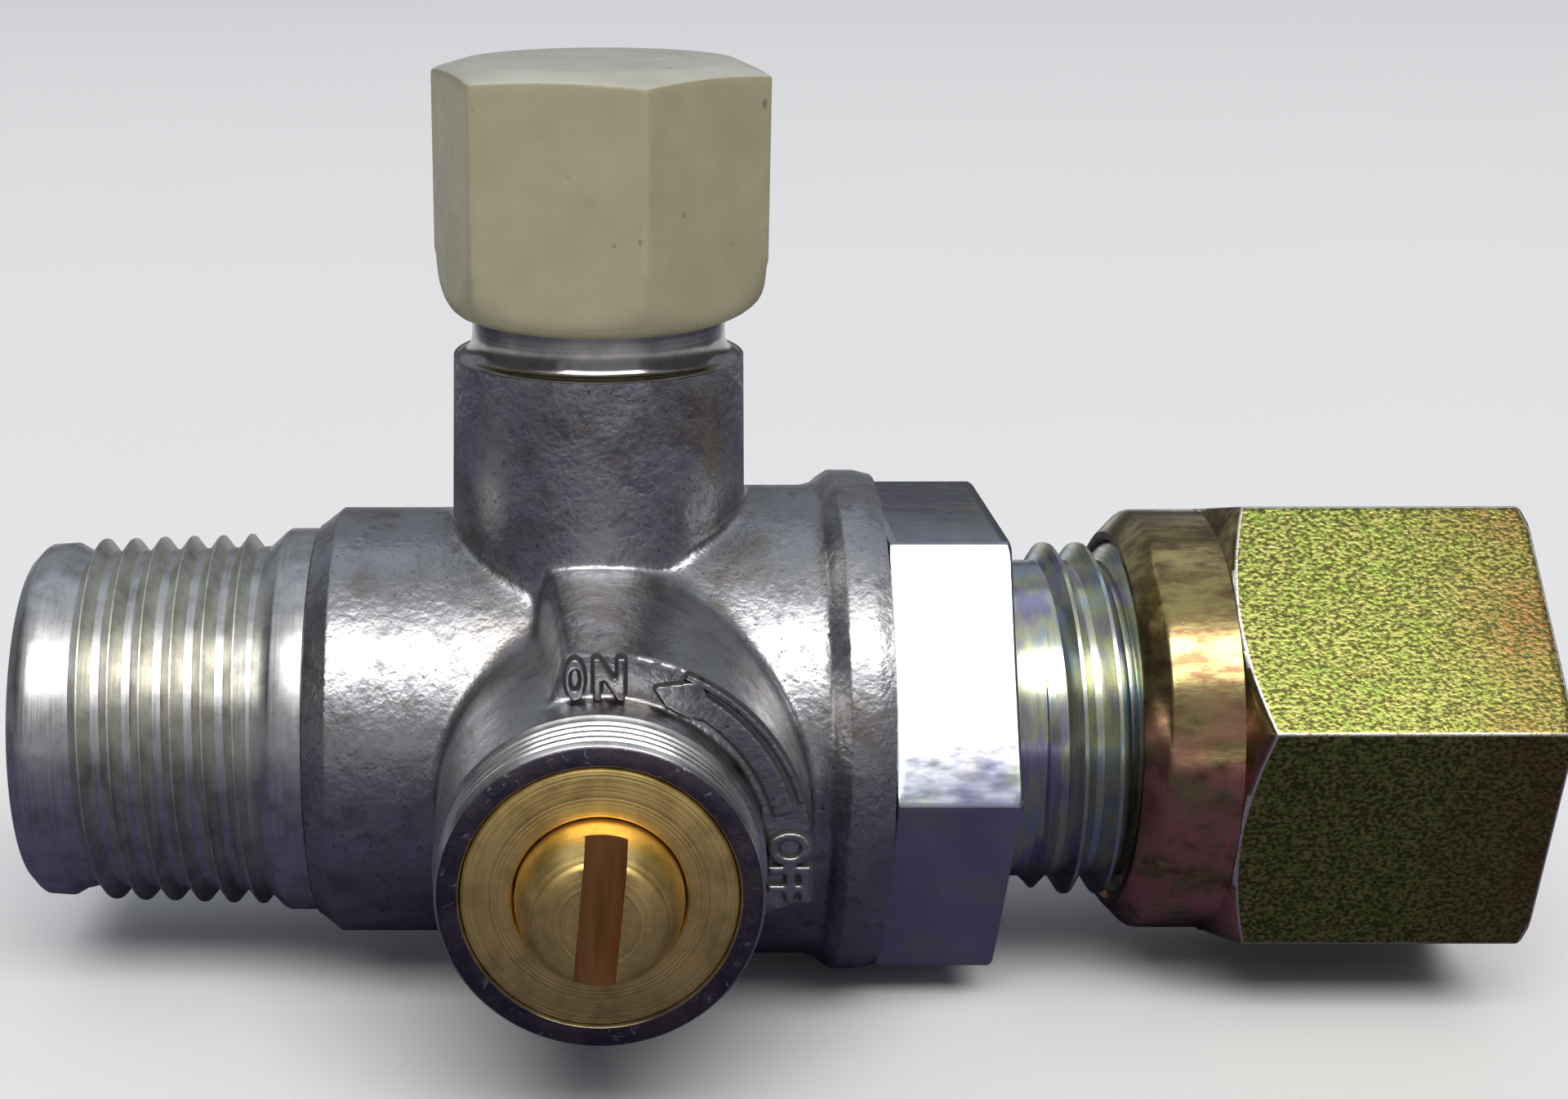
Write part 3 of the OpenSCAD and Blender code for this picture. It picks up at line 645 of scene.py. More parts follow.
def cast_metal(tints):
    n = Nodes("cast_metal", Metallic=1.0)
    grain = n.noise(2.4, 4.0, 0.62)
    patches = n.noise(0.22, 3.0, 0.6)
    dark = darker(tints.casting, 0.72)
    tone = n.mix(n.ramp(patches, 0.35, 0.65), tints.casting, dark)
    tone = n.mix(n.ramp(n.noise(0.3, 4.0, 0.6, distortion=0.6), 0.5, 0.68, 0.0, 0.8), tone, tints.stain)
    blotches = n.noise(0.9, 3.0, 0.7)
    tone = n.mix(n.ramp(blotches, 0.56, 0.68, 0.0, 0.6), tone, (0.16, 0.16, 0.18, 1))
    pits = n.ramp(n.noise(5.5, 2.0, 0.5), 0.66, 0.74)
    n.paint(n.mix(pits, tone, (0.12, 0.12, 0.13, 1)))
    n.roughen(blotches, 0.24, 0.42)
    n.bump(n.maths("ADD", grain, n.maths("MULTIPLY", blotches, 2.0)), 0.6, 0.05)
    return n.material


def turned_metal(name, tint, axis, rough=(0.2, 0.38), relief=0.2):
    """Bare metal with turning marks round an axis of the valve."""
    n = Nodes(name, Metallic=1.0)
    stretch = [0.06, 0.06, 0.06]
    stretch["XYZ".index(axis)] = 6.0
    marks = n.noise(1.6, 3.0, 0.6, stretch=stretch)
    stains = n.noise(0.8, 4.0, 0.65)
    dark = darker(tint, 0.55)
    n.paint(n.mix(n.ramp(stains, 0.45, 0.75), tint, dark))
    n.roughen(marks, *rough)
    n.bump(marks, relief, 0.02)
    return n.material


def rim_metal():
    """The boss's end face, darkened and nicked."""
    n = Nodes("rim_metal", Metallic=1.0)
    nicks = n.ramp(n.noise(1.8, 5.0, 0.75, distortion=0.8), 0.60, 0.68)
    stains = n.mix(n.ramp(n.noise(0.5, 3.0, 0.6), 0.4, 0.6), (0.15, 0.12, 0.13, 1), (0.09, 0.08, 0.11, 1))
    n.paint(n.mix(nicks, stains, (0.55, 0.53, 0.55, 1)))
    n.roughen(n.noise(2.4, 4.0, 0.7), 0.22, 0.5)
    n.bump(n.noise(2.0, 4.0, 0.7), 0.5, 0.05)
    return n.material


def turned_brass(tints):
    n = Nodes("turned_brass", Metallic=1.0)
    rings = n.noise(7.0, 2.0, 0.6, at=n.along(n.stem_radius()))
    stains = n.noise(0.9, 4.0, 0.6)
    dull = darker(tints.brass, 0.6)
    n.paint(n.mix(n.ramp(stains, 0.4, 0.75), tints.brass, dull))
    n.roughen(rings, 0.3, 0.46)
    n.bump(rings, 0.9, 0.04)
    return n.material


# The slot's darker brass carries its tarnish and painted shade for the recess between the slot's walls
def slot_brass(tints):
    n = Nodes("slot_brass", Metallic=1.0)
    grain = n.noise(1.5, 1.0, 0.5, stretch=(1.2, 1, 0.14))
    dark = darker(tints.slot, 0.35)
    n.paint(n.mix(n.ramp(grain, 0.36, 0.66), tints.slot, dark))
    n.roughen(grain, 0.35, 0.6)
    n.bump(grain, 0.4, 0.04)
    return n.material


def beige_plastic(name, tint):
    n = Nodes(name, Roughness=0.42)
    cloud = n.noise(0.35, 4.0, 0.6)
    specks = n.ramp(n.noise(1.5, 2.0, 0.5), 0.715, 0.78, 0.0, 0.8)
    warm = [c * f for c, f in zip(tint[:3], (0.9, 0.88, 0.82))] + [1]
    tone = n.mix(n.ramp(cloud, 0.35, 0.65), tint, warm)
    n.paint(n.mix(specks, tone, (0.12, 0.10, 0.07, 1)))
    n.roughen(n.noise(2.5, 4.0, 0.7), 0.36, 0.5)
    n.bump(n.noise(4.0, 4.0, 0.6), 0.12, 0.03)
    return n.material


def clear_zinc(tints):
    n = Nodes("clear_zinc", Metallic=1.0)
    hue = n.noise(0.3, 2.0, 0.5, stretch=(1.6, 0.7, 0.7))
    lilac = (0.54, 0.52, 0.66, 1)
    straw = (0.62, 0.64, 0.50, 1)
    tone = n.mix(n.ramp(hue, 0.4, 0.6), tints.clear_zinc, lilac)
    tone = n.mix(n.ramp(n.noise(0.4, 2.0), 0.52, 0.7), tone, straw)
    n.paint(tone)
    grain = n.noise(2.2, 3.0, 0.6, stretch=(0.4, 1, 1))
    n.roughen(grain, 0.05, 0.11)
    n.bump(grain, 0.03, 0.02)
    return n.material


def thread_zinc():
    """The plate on the turned stretches: satin, running from blue to straw."""
    n = Nodes("thread_zinc", Metallic=1.0)
    hue = n.noise(0.45, 2.0, 0.5, stretch=(2.4, 0.8, 0.8))
    tone = n.mix(n.ramp(hue, 0.36, 0.5), (0.50, 0.60, 0.66, 1), (0.68, 0.70, 0.48, 1))
    tone = n.mix(n.ramp(hue, 0.52, 0.66), tone, (0.48, 0.44, 0.62, 1))
    n.paint(tone)
    marks = n.noise(1.6, 3.0, 0.6, stretch=(6.0, 0.06, 0.06))
    n.roughen(marks, 0.17, 0.3)
    n.bump(marks, 0.12, 0.02)
    return n.material


def yellow_zinc(tints):
    """Yellow chromate with the fine grain of the nut's flats."""
    n = Nodes("yellow_zinc", Metallic=1.0)
    green = (0.30, 0.40, 0.08, 1)
    grain = n.noise(6.2, 1.5, 0.5, stretch=(0.8, 1, 1))
    tone = n.mix(n.ramp(n.noise(1.6, 3.0, 0.65), 0.4, 0.62), tints.yellow_zinc, green)
    far = n.ramp(n.station("X"), NUT_HIGH.x - 0.006, NUT_HIGH.x - 0.001)
    patchy = n.maths("MULTIPLY", far, n.ramp(n.noise(0.35, 3.0, 0.6), 0.35, 0.6, 0.35, 1.0))
    tone = n.mix(patchy, tone, tints.rust_zinc)
    tone = n.mix(n.ramp(grain, 0.4, 0.6), darker(tints.yellow_zinc, 0.3), tone)
    n.paint(tone)
    n.roughen(grain, 0.26, 0.4)
    n.bump(grain, 0.9, 0.035)
    return n.material


def smooth_zinc():
    """The same plate on turned faces, where it is glossy and runs into red and brown."""
    n = Nodes("smooth_zinc", Metallic=1.0)
    streaks = n.noise(1.4, 4.0, 0.65, stretch=(0.35, 1, 1))
    tone = n.mix(n.ramp(streaks, 0.4, 0.62), (0.50, 0.41, 0.17, 1), (0.22, 0.14, 0.07, 1))
    lower = n.ramp(n.station("Z"), 0.0045, 0.001)
    red = n.maths("MULTIPLY", lower, n.ramp(n.noise(0.6, 3.0, 0.6), 0.38, 0.58))
    tone = n.mix(red, tone, (0.8, 0.34, 0.26, 1))
    n.paint(tone)
    n.roughen(streaks, 0.14, 0.26)
    n.bump(n.noise(5.0, 3.0, 0.6, stretch=(0.3, 1, 1)), 0.2, 0.02)
    return n.material


def worn_zinc():
    """Rounded edges and corners worn to bare steel by spanners, with a painted highlight: the near-white tone
    stands in for the light these edges catch.
    """
    n = Nodes("worn_zinc", Metallic=1.0)
    nicks = n.noise(3.5, 3.0, 0.7)
    n.paint(n.mix(n.ramp(nicks, 0.5, 0.7), (0.85, 0.84, 0.80, 1), (0.45, 0.38, 0.22, 1)))
    n.roughen(nicks, 0.3, 0.5)
    n.bump(nicks, 0.6, 0.05)
    return n.material


def mottled(name, roughness, cells, first, second, bump):
    """A dull material that runs between two tones; the bump is its noise, strength and height."""
    n = Nodes(name, Roughness=roughness)
    n.paint(n.mix(n.noise(cells), first, second))
    n.bump(n.noise(bump[0]), *bump[1:])
    return n.material


# Near-black material for the sides and foot of the raised marks
def dark_grime():
    return mottled("dark_grime", 0.7, 3.0, (0.02, 0.018, 0.018, 1), (0.09, 0.085, 0.085, 1), (5.0, 0.3, 0.03))


def black_rubber():
    return mottled("black_rubber", 0.6, 1.0, (0.02, 0.02, 0.02, 1), (0.05, 0.05, 0.05, 1), (4.0, 0.2, 0.03))


def white_sleeve():
    return mottled("white_sleeve", 0.35, 0.6, (0.78, 0.77, 0.72, 1), (0.7, 0.69, 0.63, 1), (3.0, 0.1, 0.02))


def soft_copper():
    n = Nodes("soft_copper", Metallic=1.0)
    n.paint(n.mix(n.noise(0.9), (0.72, 0.38, 0.2, 1), (0.4, 0.18, 0.1, 1)))
    n.roughen(n.noise(2.0), 0.25, 0.5)
    return n.material


# Operators


class VALVE_OT_casting(bpy.types.Operator):
    """Model the cast body with its turned ends, bores and blends"""

    bl_idname = "valve.casting"
    bl_label = "Casting"

    def execute(self, context):
        s = sizes("valve_casting")
        t = sizes("valve_threads")
        field = CastingField(s)
        body = turned("casting", [(11, 0), (11, 8.6), (14, 9.7), (23.4, 9.7), (29.4, 10.7),
                                  (35, 10.7), (36, 11.4), (39, 11.3), (39, 0)], steps=64)
        neck = placed(turned("neck", [(0, 0), (0, 6.5), (18, 6.4), (18, 0)], steps=64), ON_NECK)
        boss = placed(turned("boss", [(0, 0), (0, 6.9), (17.8, 6.5), (17.8, 0)], steps=64), ON_BOSS)
        back, face = s.pad_back, s.pad_face - 0.1
        pad = placed(turned("pad", [(back, 0), (back, 9.4), (face, 8.5), (face, 0)], steps=64), ON_BOSS)
        for cutter in self.pad_cutters():
            pad = combined(pad, cutter, "DIFFERENCE")
        for other in (neck, boss, pad):
            body = combined(body, other, "UNION")
        applied(body, "REMESH", mode="VOXEL", voxel_size=s.grain, adaptivity=0.0)
        settled(body, field)
        self.refine_creases(body)
        settled(body, field, rounds=3)
        # Blocks that cut the skin off where the machined ends begin
        for low, high in (
            ((0, -30, -30), (s.cast_start, 30, 30)), ((s.cast_end, -30, -30), (60, 30, 30)),
            ((0, -30, s.neck_height), (60, 30, 40)), ((0, -40, -30), (60, -s.boss_cast, 30)),
        ):
            body = combined(body, self.block(low, high), "DIFFERENCE")
        body = combined(body, self.machined(s, t), "UNION")
        body = combined(body, self.bores(), "DIFFERENCE")
        self.mark_turned(body, s)
        tints = context.scene.valve_colours
        finished(
            body, "valve", "cast_metal", "valve_body", angle=38,
            materials=(cast_metal(tints), turned_metal("turned_run", tints.turned, "X", (0.24, 0.42)),
                       turned_metal("turned_neck", (0.42, 0.4, 0.38, 1), "Z", (0.12, 0.24), 0.06),
                       turned_metal("turned_boss", tints.turned, "Y"), rim_metal()),
        )
        return {"FINISHED"}

    def refine_creases(self, body):
        """Gives the faces along sharp turns of the skin half the size."""
        fresh(body)
        bpy.ops.object.mode_set(mode="EDIT")
        bpy.ops.mesh.select_mode(type="EDGE")
        bpy.ops.mesh.select_all(action="DESELECT")
        bpy.ops.mesh.edges_select_sharp(sharpness=math.radians(16))
        bpy.ops.mesh.select_more()
        bpy.ops.mesh.subdivide(number_cuts=1)
        bpy.ops.mesh.select_mode(type="VERT")
        bpy.ops.object.mode_set(mode="OBJECT")

    def block(self, low, high):
        fresh()
        middle = [(a + b) / 2 for a, b in zip(low, high)]
        bpy.ops.mesh.primitive_cube_add(size=1, location=middle)
        piece = bpy.context.object
        piece.scale = [b - a for a, b in zip(low, high)]
        bpy.ops.object.transform_apply(location=True, rotation=True, scale=True)
        return piece

    def pad_cutters(self):
        """Blocks that leave the sector between ON and OFF."""
        pieces, size = [], 60
        for x, z, heading, side in PAD_WALLS + ((0, 0, -45, -1),):
            fresh()
            bpy.ops.mesh.primitive_cube_add(size=size)
            piece = bpy.context.object
            placed(piece, Matrix.Translation((0, 0, side * size / 2)))
            placed(piece, Matrix.Rotation(-math.radians(heading), 4, "Y"))
            pieces.append(placed(piece, Matrix.Translation((CENTRE + x, 0, z))))
        return pieces

    def machined(self, s, t):
        """Turned ends of the casting: inlet ring, neck spigot and boss rim."""
        taper = [(x, inlet_root(t, x) + rise) for x, rise in (
            (0, -0.1), (0.4, 0.32), (0.55, 0.42), (1.55, 0.45), (2.3, 0), (10.5, 0),
        )]
        inlet = turned("inlet", [
            (0, 0), *taper, (11.25, t.ring - 0.12), (11.45, t.ring), (12.75, t.ring),
            (12.9, t.ring - 0.15), (14, 8), (14, 0),
        ], steps=160)
        undercut = [(s.neck_height + rise, radius) for rise, radius in (
            (-0.05, 6.22), (0.03, 6.15), (0.1, 5.95), (0.16, 5.8), (0.28, 5.68), (0.45, 5.6),
            (0.7, 5.54), (1.0, 5.5),
        )]
        neck = placed(turned("spigot", [
            (15, 0), (15, 6), *undercut, (19.15, 5.5), (19.45, t.cap_root),
            (SPIGOT_TOP - 0.2, t.cap_root), (SPIGOT_TOP, 4.8), (SPIGOT_TOP, 0),
        ], steps=128), ON_NECK)
        grooves = []
        for x in (17.1, 17.65, 18.2, 18.75):
            grooves += [(x, s.rim), (x + 0.09, s.rim - 0.13), (x + 0.3, s.rim - 0.01)]
        rim = placed(turned("rim", [
            (15, 0), (15, 6), (16.8, 6.2), (16.92, s.rim), *grooves, (BOSS_FACE - 0.26, s.rim),
            (BOSS_FACE - 0.05, s.rim - 0.13), (BOSS_FACE, s.rim - 0.22), (BOSS_FACE, 0),
        ], steps=160), ON_BOSS)
        fresh(inlet)
        for piece in (neck, rim):
            piece.select_set(True)
        bpy.ops.object.join()
        return bpy.context.object

    def bores(self):
        """Everything bored out of the casting, as one cutter."""
        chamber = placed(turned("chamber", [
            (-6.6, 0), (-6.6, CHAMBER_RADIUS), (GLAND_SEAT, CHAMBER_RADIUS), (GLAND_SEAT, 5.37),
            (BOSS_FACE - 0.12, 5.37), (BOSS_FACE + 0.1, 5.52), (22, 5.52), (22, 0),
        ], steps=128), ON_BOSS)
        inlet = turned("passage", [(-1, 0), (-1, 5.0), (0, 4.85), (0.35, 4.5), (CENTRE, 4.5), (CENTRE, 0)])
        socket = turned("socket", [(31.52, 0), (31.52, 6.6), (40, 6.6), (40, 0)])
        neck = placed(turned("well", [
            (0, 0), (0, 2.2), (6.42, 2.2), (6.42, 3.22), (9.22, 3.22), (9.22, 3.7), (14.2, 3.7),
            (14.2, 4.15), (26, 4.15), (26, 0),
        ]), ON_NECK)
        reach, radius, wall = 7.6, 1.8, 1.85
        oblique = turned("oblique", [(-reach, 0), (-reach, radius), (reach, radius), (reach, 0)], steps=48)
        tilt = math.radians(39.7)
        placed(oblique, Matrix.Rotation(math.pi / 2 - tilt, 4, "Y"))
        aside = Vector((math.cos(tilt), 0, math.sin(tilt))) * (CHAMBER_RADIUS + wall + radius)
        placed(oblique, Matrix.Translation(Vector((CENTRE, 0, 0)) + aside))
        for other in (inlet, socket, neck, oblique):
            chamber = combined(chamber, other, "UNION")
        return chamber

    def mark_turned(self, body, s):
        """Gives the turned faces their own materials."""
        for face in body.data.polygons:
            face.material_index = 0
            x, y, z = face.center
            across = x - CENTRE
            if x < s.cast_start - 0.01:
                face.material_index = 1
            elif z > s.neck_height - 0.04 and math.hypot(across, y) < 6.2:
                face.material_index = 2
            elif y < 0.03 - BOSS_FACE:
                face.material_index = 4
            elif y < -s.boss_cast + 0.02 and math.hypot(across, z) < s.rim + 0.01:
                face.material_index = 3


class VALVE_OT_inlet_thread(bpy.types.Operator):
    """Cut the taper thread of the inlet"""

    bl_idname = "valve.inlet_thread"
    bl_label = "Inlet thread"

    def execute(self, context):
        t = sizes("valve_threads")
        root = inlet_root(t)
        profile = ridge_profile(t.inlet_pitch, 0.34, 0.07, t.inlet_depth, root)
        ridge = helix("inlet_thread", profile, t.inlet_pitch, -0.1, 9)

        def shape(x, radius, angle):
            """Taper, with a soft start, a shallow end and a slight unevenness."""
            end, start = ramped(t.inlet_end + 0.2 - x, 0.9), ramped(x - 1.9, 0.7)
            lift = max(radius - root, 0.0) * (0.2 + 0.8 * end) - (1 - end) * 0.3
            radius = min(radius, root) + lift * start - (1 - start) * 0.2
            radius += (x - GAUGE_STATION) * TAPER
            return max(x, 0.02), radius + 0.018 * math.sin(3 * angle + 1.7 * x) * ramped(lift, 1.0)

        reshaped(ridge, shape)
        tints = context.scene.valve_colours
        finished(ridge, "valve", "cast_metal", angle=25,
                 materials=(turned_metal("thread_metal", tints.thread, "X", (0.26, 0.44)),))
        return {"FINISHED"}


class VALVE_OT_cap_thread(bpy.types.Operator):
    """Cut the fine thread of the spigot under the cap"""

    bl_idname = "valve.cap_thread"
    bl_label = "Cap thread"

    def execute(self, context):
        t = sizes("valve_threads")
        profile = ridge_profile(t.cap_pitch, 0.14, 0.12, t.cap_depth, t.cap_root, buried=0.4)
        ridge = helix("cap_thread", profile, t.cap_pitch, t.cap_start, 4)
        stations = corners(ridge)[:, 0]
        low, high, run = stations.min(), stations.max(), 0.7
        reshaped(ridge, lambda x, radius, angle: (
            x, sunk(radius, t.cap_root, ramped(x - low, run) * ramped(high - x, run)),
        ))
        placed(ridge, ON_NECK)
        tints = context.scene.valve_colours
        finished(ridge, "valve", "cast_metal", angle=25,
                 materials=(turned_metal("cap_thread_metal", tints.thread, "Z", (0.26, 0.44)),))
        return {"FINISHED"}


class VALVE_OT_cap(bpy.types.Operator):
    """Model the six-sided cap"""

    bl_idname = "valve.cap"
    bl_label = "Cap"

    def execute(self, context):
        h = sizes("valve_hexagons")
        low, high = CAP_LOW.z / MILLIMETRE + h.cap_clear, CAP_HIGH.z / MILLIMETRE
        flats, big, edge, bore = h.cap_flats, h.cap_foot, h.cap_edge, h.cap_bore
        corner, disc = flats / math.cos(math.pi / 6), flats - h.cap_bevel

        def foot(rise):
            """The rounded foot: an arc that runs softly into the wall."""
            def row(wall):
                reach = corner - big + math.sqrt(big ** 2 - (big - min(rise, big)) ** 2) + max(rise - big, 0)
                overlap = max(0.5 - abs(reach - wall), 0) / 0.5
                return (low + rise, min(reach, wall) - overlap * overlap * 0.12)
            return row

        def shoulder(wall):
            """Height where the wall meets the bevel round the top."""
            return high - 0.36 - (wall - flats) * 0.16

        def bevel(share):
            def row(wall):
                low_edge, inner = shoulder(wall), disc + 0.08
                return (low_edge + (high - 0.03 - low_edge) * share, wall + (inner - wall) * share)
            return row

        seat, well, roof, pole = 25.4, 4.2, high - 1.5, 0.4
        cap = six_sided("cap_shell", "cap", [
            (low + 0.12, bore), (low, bore + 0.12),
            *[foot(rise) for rise in (0.08, 0.2, 0.38, 0.6, 0.85, 1.15, 1.5, 1.9, 2.3, 2.6, 2.9)],
            lambda wall: (high - 3.0, wall),
            lambda wall: (shoulder(wall) - edge - 0.35, wall),
            lambda wall: (shoulder(wall) - edge, wall),
            lambda wall: (shoulder(wall) - edge * 0.3, wall - edge * 0.3),
            bevel(0.2), bevel(0.6), bevel(1.0), (high, disc - 0.1), (high, 3.0), (high, pole),
            (roof, pole), (roof, well), (seat, well), (seat, bore),
        ])
        places = corners(cap)
        places[np.hypot(places[:, 1], places[:, 2]) < pole + 0.01, 1:] = 0
        move_corners(cap, places)
        fresh(cap)
        bpy.ops.object.mode_set(mode="EDIT")
        tidy_shell()
        placed(cap, ON_NECK)
        tints = context.scene.valve_colours
        # Upward faces near the top take the lighter copy of the plastic: a painted sheen on the top and bevel
        for face in cap.data.polygons:
            face.material_index = int(face.normal.z > 0.4 and face.center.z > high - 4)
        plastics = [
            beige_plastic("beige_plastic", tints.plastic), beige_plastic("bleached_plastic", tints.painted_sheen),
        ]
        finished(cap, "cap", "cap_plastic", "cap", angle=50, materials=plastics)
        return {"FINISHED"}


class VALVE_OT_coupling(bpy.types.Operator):
    """Model the stud coupling with its hexagon and thread"""

    bl_idname = "valve.coupling"
    bl_label = "Stud coupling"

    def execute(self, context):
        h, t = sizes("valve_hexagons"), sizes("valve_threads")
        back, front, edge = h.stud_back, h.stud_front, h.stud_edge
        corner, slope = h.stud_flats / math.cos(math.pi / 6), math.tan(h.group.face_slope)
        back_ring, front_ring = corner - 0.07, corner - 0.2

        def back_face(radius):
            return back + max(0.0, radius - back_ring) * slope

        def front_face(radius):
            return front - max(0.0, radius - front_ring) * slope

        root, groove = t.outlet_crest - t.outlet_depth, 0.9
        stud = six_sided("coupling", "stud", [
            (33.02, 4.0), (33.02, 6.15), (33.42, 6.55), (37.1, 6.55), (37.2, 6.15), (back, 6.15),
            (back, 7.3), (back + groove, 7.3), (back + groove, 8.3), (back, 8.3), (back, 8.8),
            lambda wall: (back, min(back_ring, wall - edge - 0.05)),
            *reversed(edge_rows(back_face, edge, -1, 0.3)), *edge_rows(front_face, edge, 1, 0.3),
            lambda wall: (front, min(front_ring, wall - edge - 0.05)),
            (front, 7.45), (front + 0.08, 7.28), (front + 0.25, 7.2), (45.3, 7.2), (45.5, root),
            (55.9, root), (OUTLET_END - 0.2, root - 0.6), (OUTLET_END, 6.6), (OUTLET_END, 6.15),
            (51.72, 5.05), (49.9, 5.05), (49.9, 4.0),
        ])
        tints = context.scene.valve_colours
        satin = thread_zinc()
        for part in stud.data.polygons:
            part.material_index = int(part.center.x > front + 0.1)
        finished(stud, "valve", "zinc_steel", "stud_coupling", angle=30, materials=(clear_zinc(tints), satin))
        profile = ridge_profile(t.outlet_pitch, 0.3, 0.16, t.outlet_depth, root)
        ridge = helix("outlet_thread", profile, t.outlet_pitch, 43.9, 8)
        reshaped(ridge, lambda x, radius, angle: (
            min(x, OUTLET_END - 0.05),
            sunk(radius, root, ramped(x - 44.5, 0.7) * ramped(OUTLET_END - x, 0.8)),
        ))
        finished(ridge, "valve", "zinc_steel", angle=25, materials=(satin,))
        return {"FINISHED"}


class VALVE_OT_nut(bpy.types.Operator):
    """Model the compression nut"""

    bl_idname = "valve.nut"
    bl_label = "Compression nut"

    def execute(self, context):
        h = sizes("valve_hexagons")
        back, front = NUT_LOW.x / MILLIMETRE, NUT_HIGH.x / MILLIMETRE
        flats, edge, hub = h.nut_flats, h.nut_edge, back + h.nut_hub
        slope, thread = math.tan(h.group.face_slope), 8.05
        front_ring = flats / math.cos(math.pi / 6) - 0.55

        def back_face(radius):
            return hub + max(0.0, radius - flats) * slope

        def front_face(radius):
            return front - max(0.0, radius - front_ring) * slope

        def hub_end(wall):
            """Last row of the hub's face, which has no width in the middle of a flat."""
            return (back_face(wall - edge), wall - edge) if wall > flats + edge else (hub + 0.02, wall - 0.01)

        nut = six_sided("nut", "nut", [
            (back + 0.3, thread), (back, 8.2), (back, 8.35), (back + 0.03, 8.5), (back + 0.12, 8.62),
            (back + 0.85, 9.36), (back + 1.0, 9.46), (back + 1.2, 9.5), (hub - 0.05, 9.5), (hub, flats),
            lambda wall: (back_face((flats + wall - edge) / 2), (flats + wall - edge) / 2),
            hub_end,
            lambda wall: (back_face(wall) + 0.3 * edge, wall - 0.25 * edge),
            lambda wall: (back_face(wall) + edge, wall),
            lambda wall: (back_face(wall) + edge + 0.35, wall),
            *edge_rows(front_face, edge, 1, 0.35),
            lambda wall: (front, min(front_ring, wall - edge - 0.05)),
            (front, 5.3), (front - 0.2, 5.1), (61.7, 5.1), (58.75, thread),
        ])
        tints = context.scene.valve_colours
        for face in nut.data.polygons:
            ahead, side, rise = face.normal
            x, y, z = face.center
            turn = math.atan2(rise, side) - h.group.nut_turn + math.pi / 2 + math.pi / 6
            off = abs(turn % (math.pi / 3) - math.pi / 6)
            if x < hub or abs(ahead) > 0.4:
                face.material_index = 1
            # Rounded edges and corners off the flats take the near-white metal: wear, and a painted edge
            # highlight
            elif x > hub + 0.05 and (abs(ahead) > 0.08 or math.pi / 6 - off > math.radians(5)):
                face.material_index = 2
            else:
                face.material_index = 0
        finished(nut, "nut", "yellow_zinc", "compression_nut", angle=24,
                 materials=(yellow_zinc(tints), smooth_zinc(), worn_zinc()))
        return {"FINISHED"}


class VALVE_OT_stem(bpy.types.Operator):
    """Model the slotted stem and its gland ring"""

    bl_idname = "valve.stem"
    bl_label = "Stem and gland ring"

    def execute(self, context):
        s = sizes("valve_stem")
        tints = context.scene.valve_colours
        brass = turned_brass(tints)
        lean, face = s.group.lean, STEM_FACE
        dome = arc(BOSS_FACE + 0.05, 0, s.dome, 90, math.degrees(math.asin((s.end + 0.16) / s.dome)), 14)
        plug, collar, seal = 4.25, 4.97, 4.0
        stem = placed(turned("stem", [
            (-6.55, 0), (-6.55, plug), (7.1, plug), (7.1, collar), (8.46, collar), (8.46, seal),
            (9.56, seal), (9.56, collar), (11.26, collar), (11.26, seal), (12.36, seal),
            (12.36, collar), (13.7, collar), (13.7, s.dome), *dome, (face - 0.13, s.end + 0.13),
            (face - 0.02, s.end), (face, s.end - 0.04), (face, 0),
        ], steps=160), ON_BOSS)
        stem = combined(stem, self.slot_cutter(s), "DIFFERENCE")
        bore = 2.5
        ports = placed(turned("port", [(-5, 0), (-5, bore), (bore, bore), (bore, 0)], steps=48),
                       Matrix.Translation((CENTRE, 0, 0)))
        rising = placed(turned("rise", [(0, 0), (0, bore), (5, bore), (5, 0)], steps=48), ON_NECK)
        ports = combined(ports, rising, "UNION")
        placed(ports, Matrix.Translation((-CENTRE, 0, 0)))
        placed(ports, Matrix.Rotation(lean, 4, "Y"))
        placed(ports, Matrix.Translation((CENTRE, 0, 0)))
        stem = combined(stem, ports, "DIFFERENCE")
        # Faces in the slot take the darker brass: tarnish and painted shade
        for part in stem.data.polygons:
            x, y, z = part.center
            sideways = (x - CENTRE) * math.cos(lean) - z * math.sin(lean)
            part.material_index = int(y < 0.02 - (face - s.slot_depth) and abs(sideways) < s.slot / 2 + 0.01)
        finished(stem, "stem", "brass", "shutoff_stem", angle=30, materials=(brass, slot_brass(tints)))
        rounds = [(BOSS_FACE - depth, radius) for depth, radius in (
            (0.14, 5.32), (0.03, 5.24), (0, 5.15), (0, 3.45), (0.05, 3.38), (0.15, 3.34), (0.4, 3.3),
        )]
        ring = placed(turned("gland", [
            (GLAND_SEAT, 3.3), (GLAND_SEAT, 5.2), (GLAND_SEAT + 0.15, 5.32), *rounds,
        ], closed=True, steps=160), ON_BOSS)
        finished(ring, "valve", "brass", "gland_ring", angle=30, materials=(brass,))
        return {"FINISHED"}

    def slot_cutter(self, s):
        fresh()
        bpy.ops.mesh.primitive_cube_add(size=1)
        cutter = bpy.context.object
        depth = 6
        placed(cutter, Matrix.Diagonal((s.slot, depth, 12, 1)))
        placed(cutter, Matrix.Translation((0, s.slot_depth - STEM_FACE - depth / 2, 0)))
        placed(cutter, Matrix.Rotation(s.group.lean, 4, "Y"))
        return placed(cutter, Matrix.Translation((CENTRE, 0, 0)))


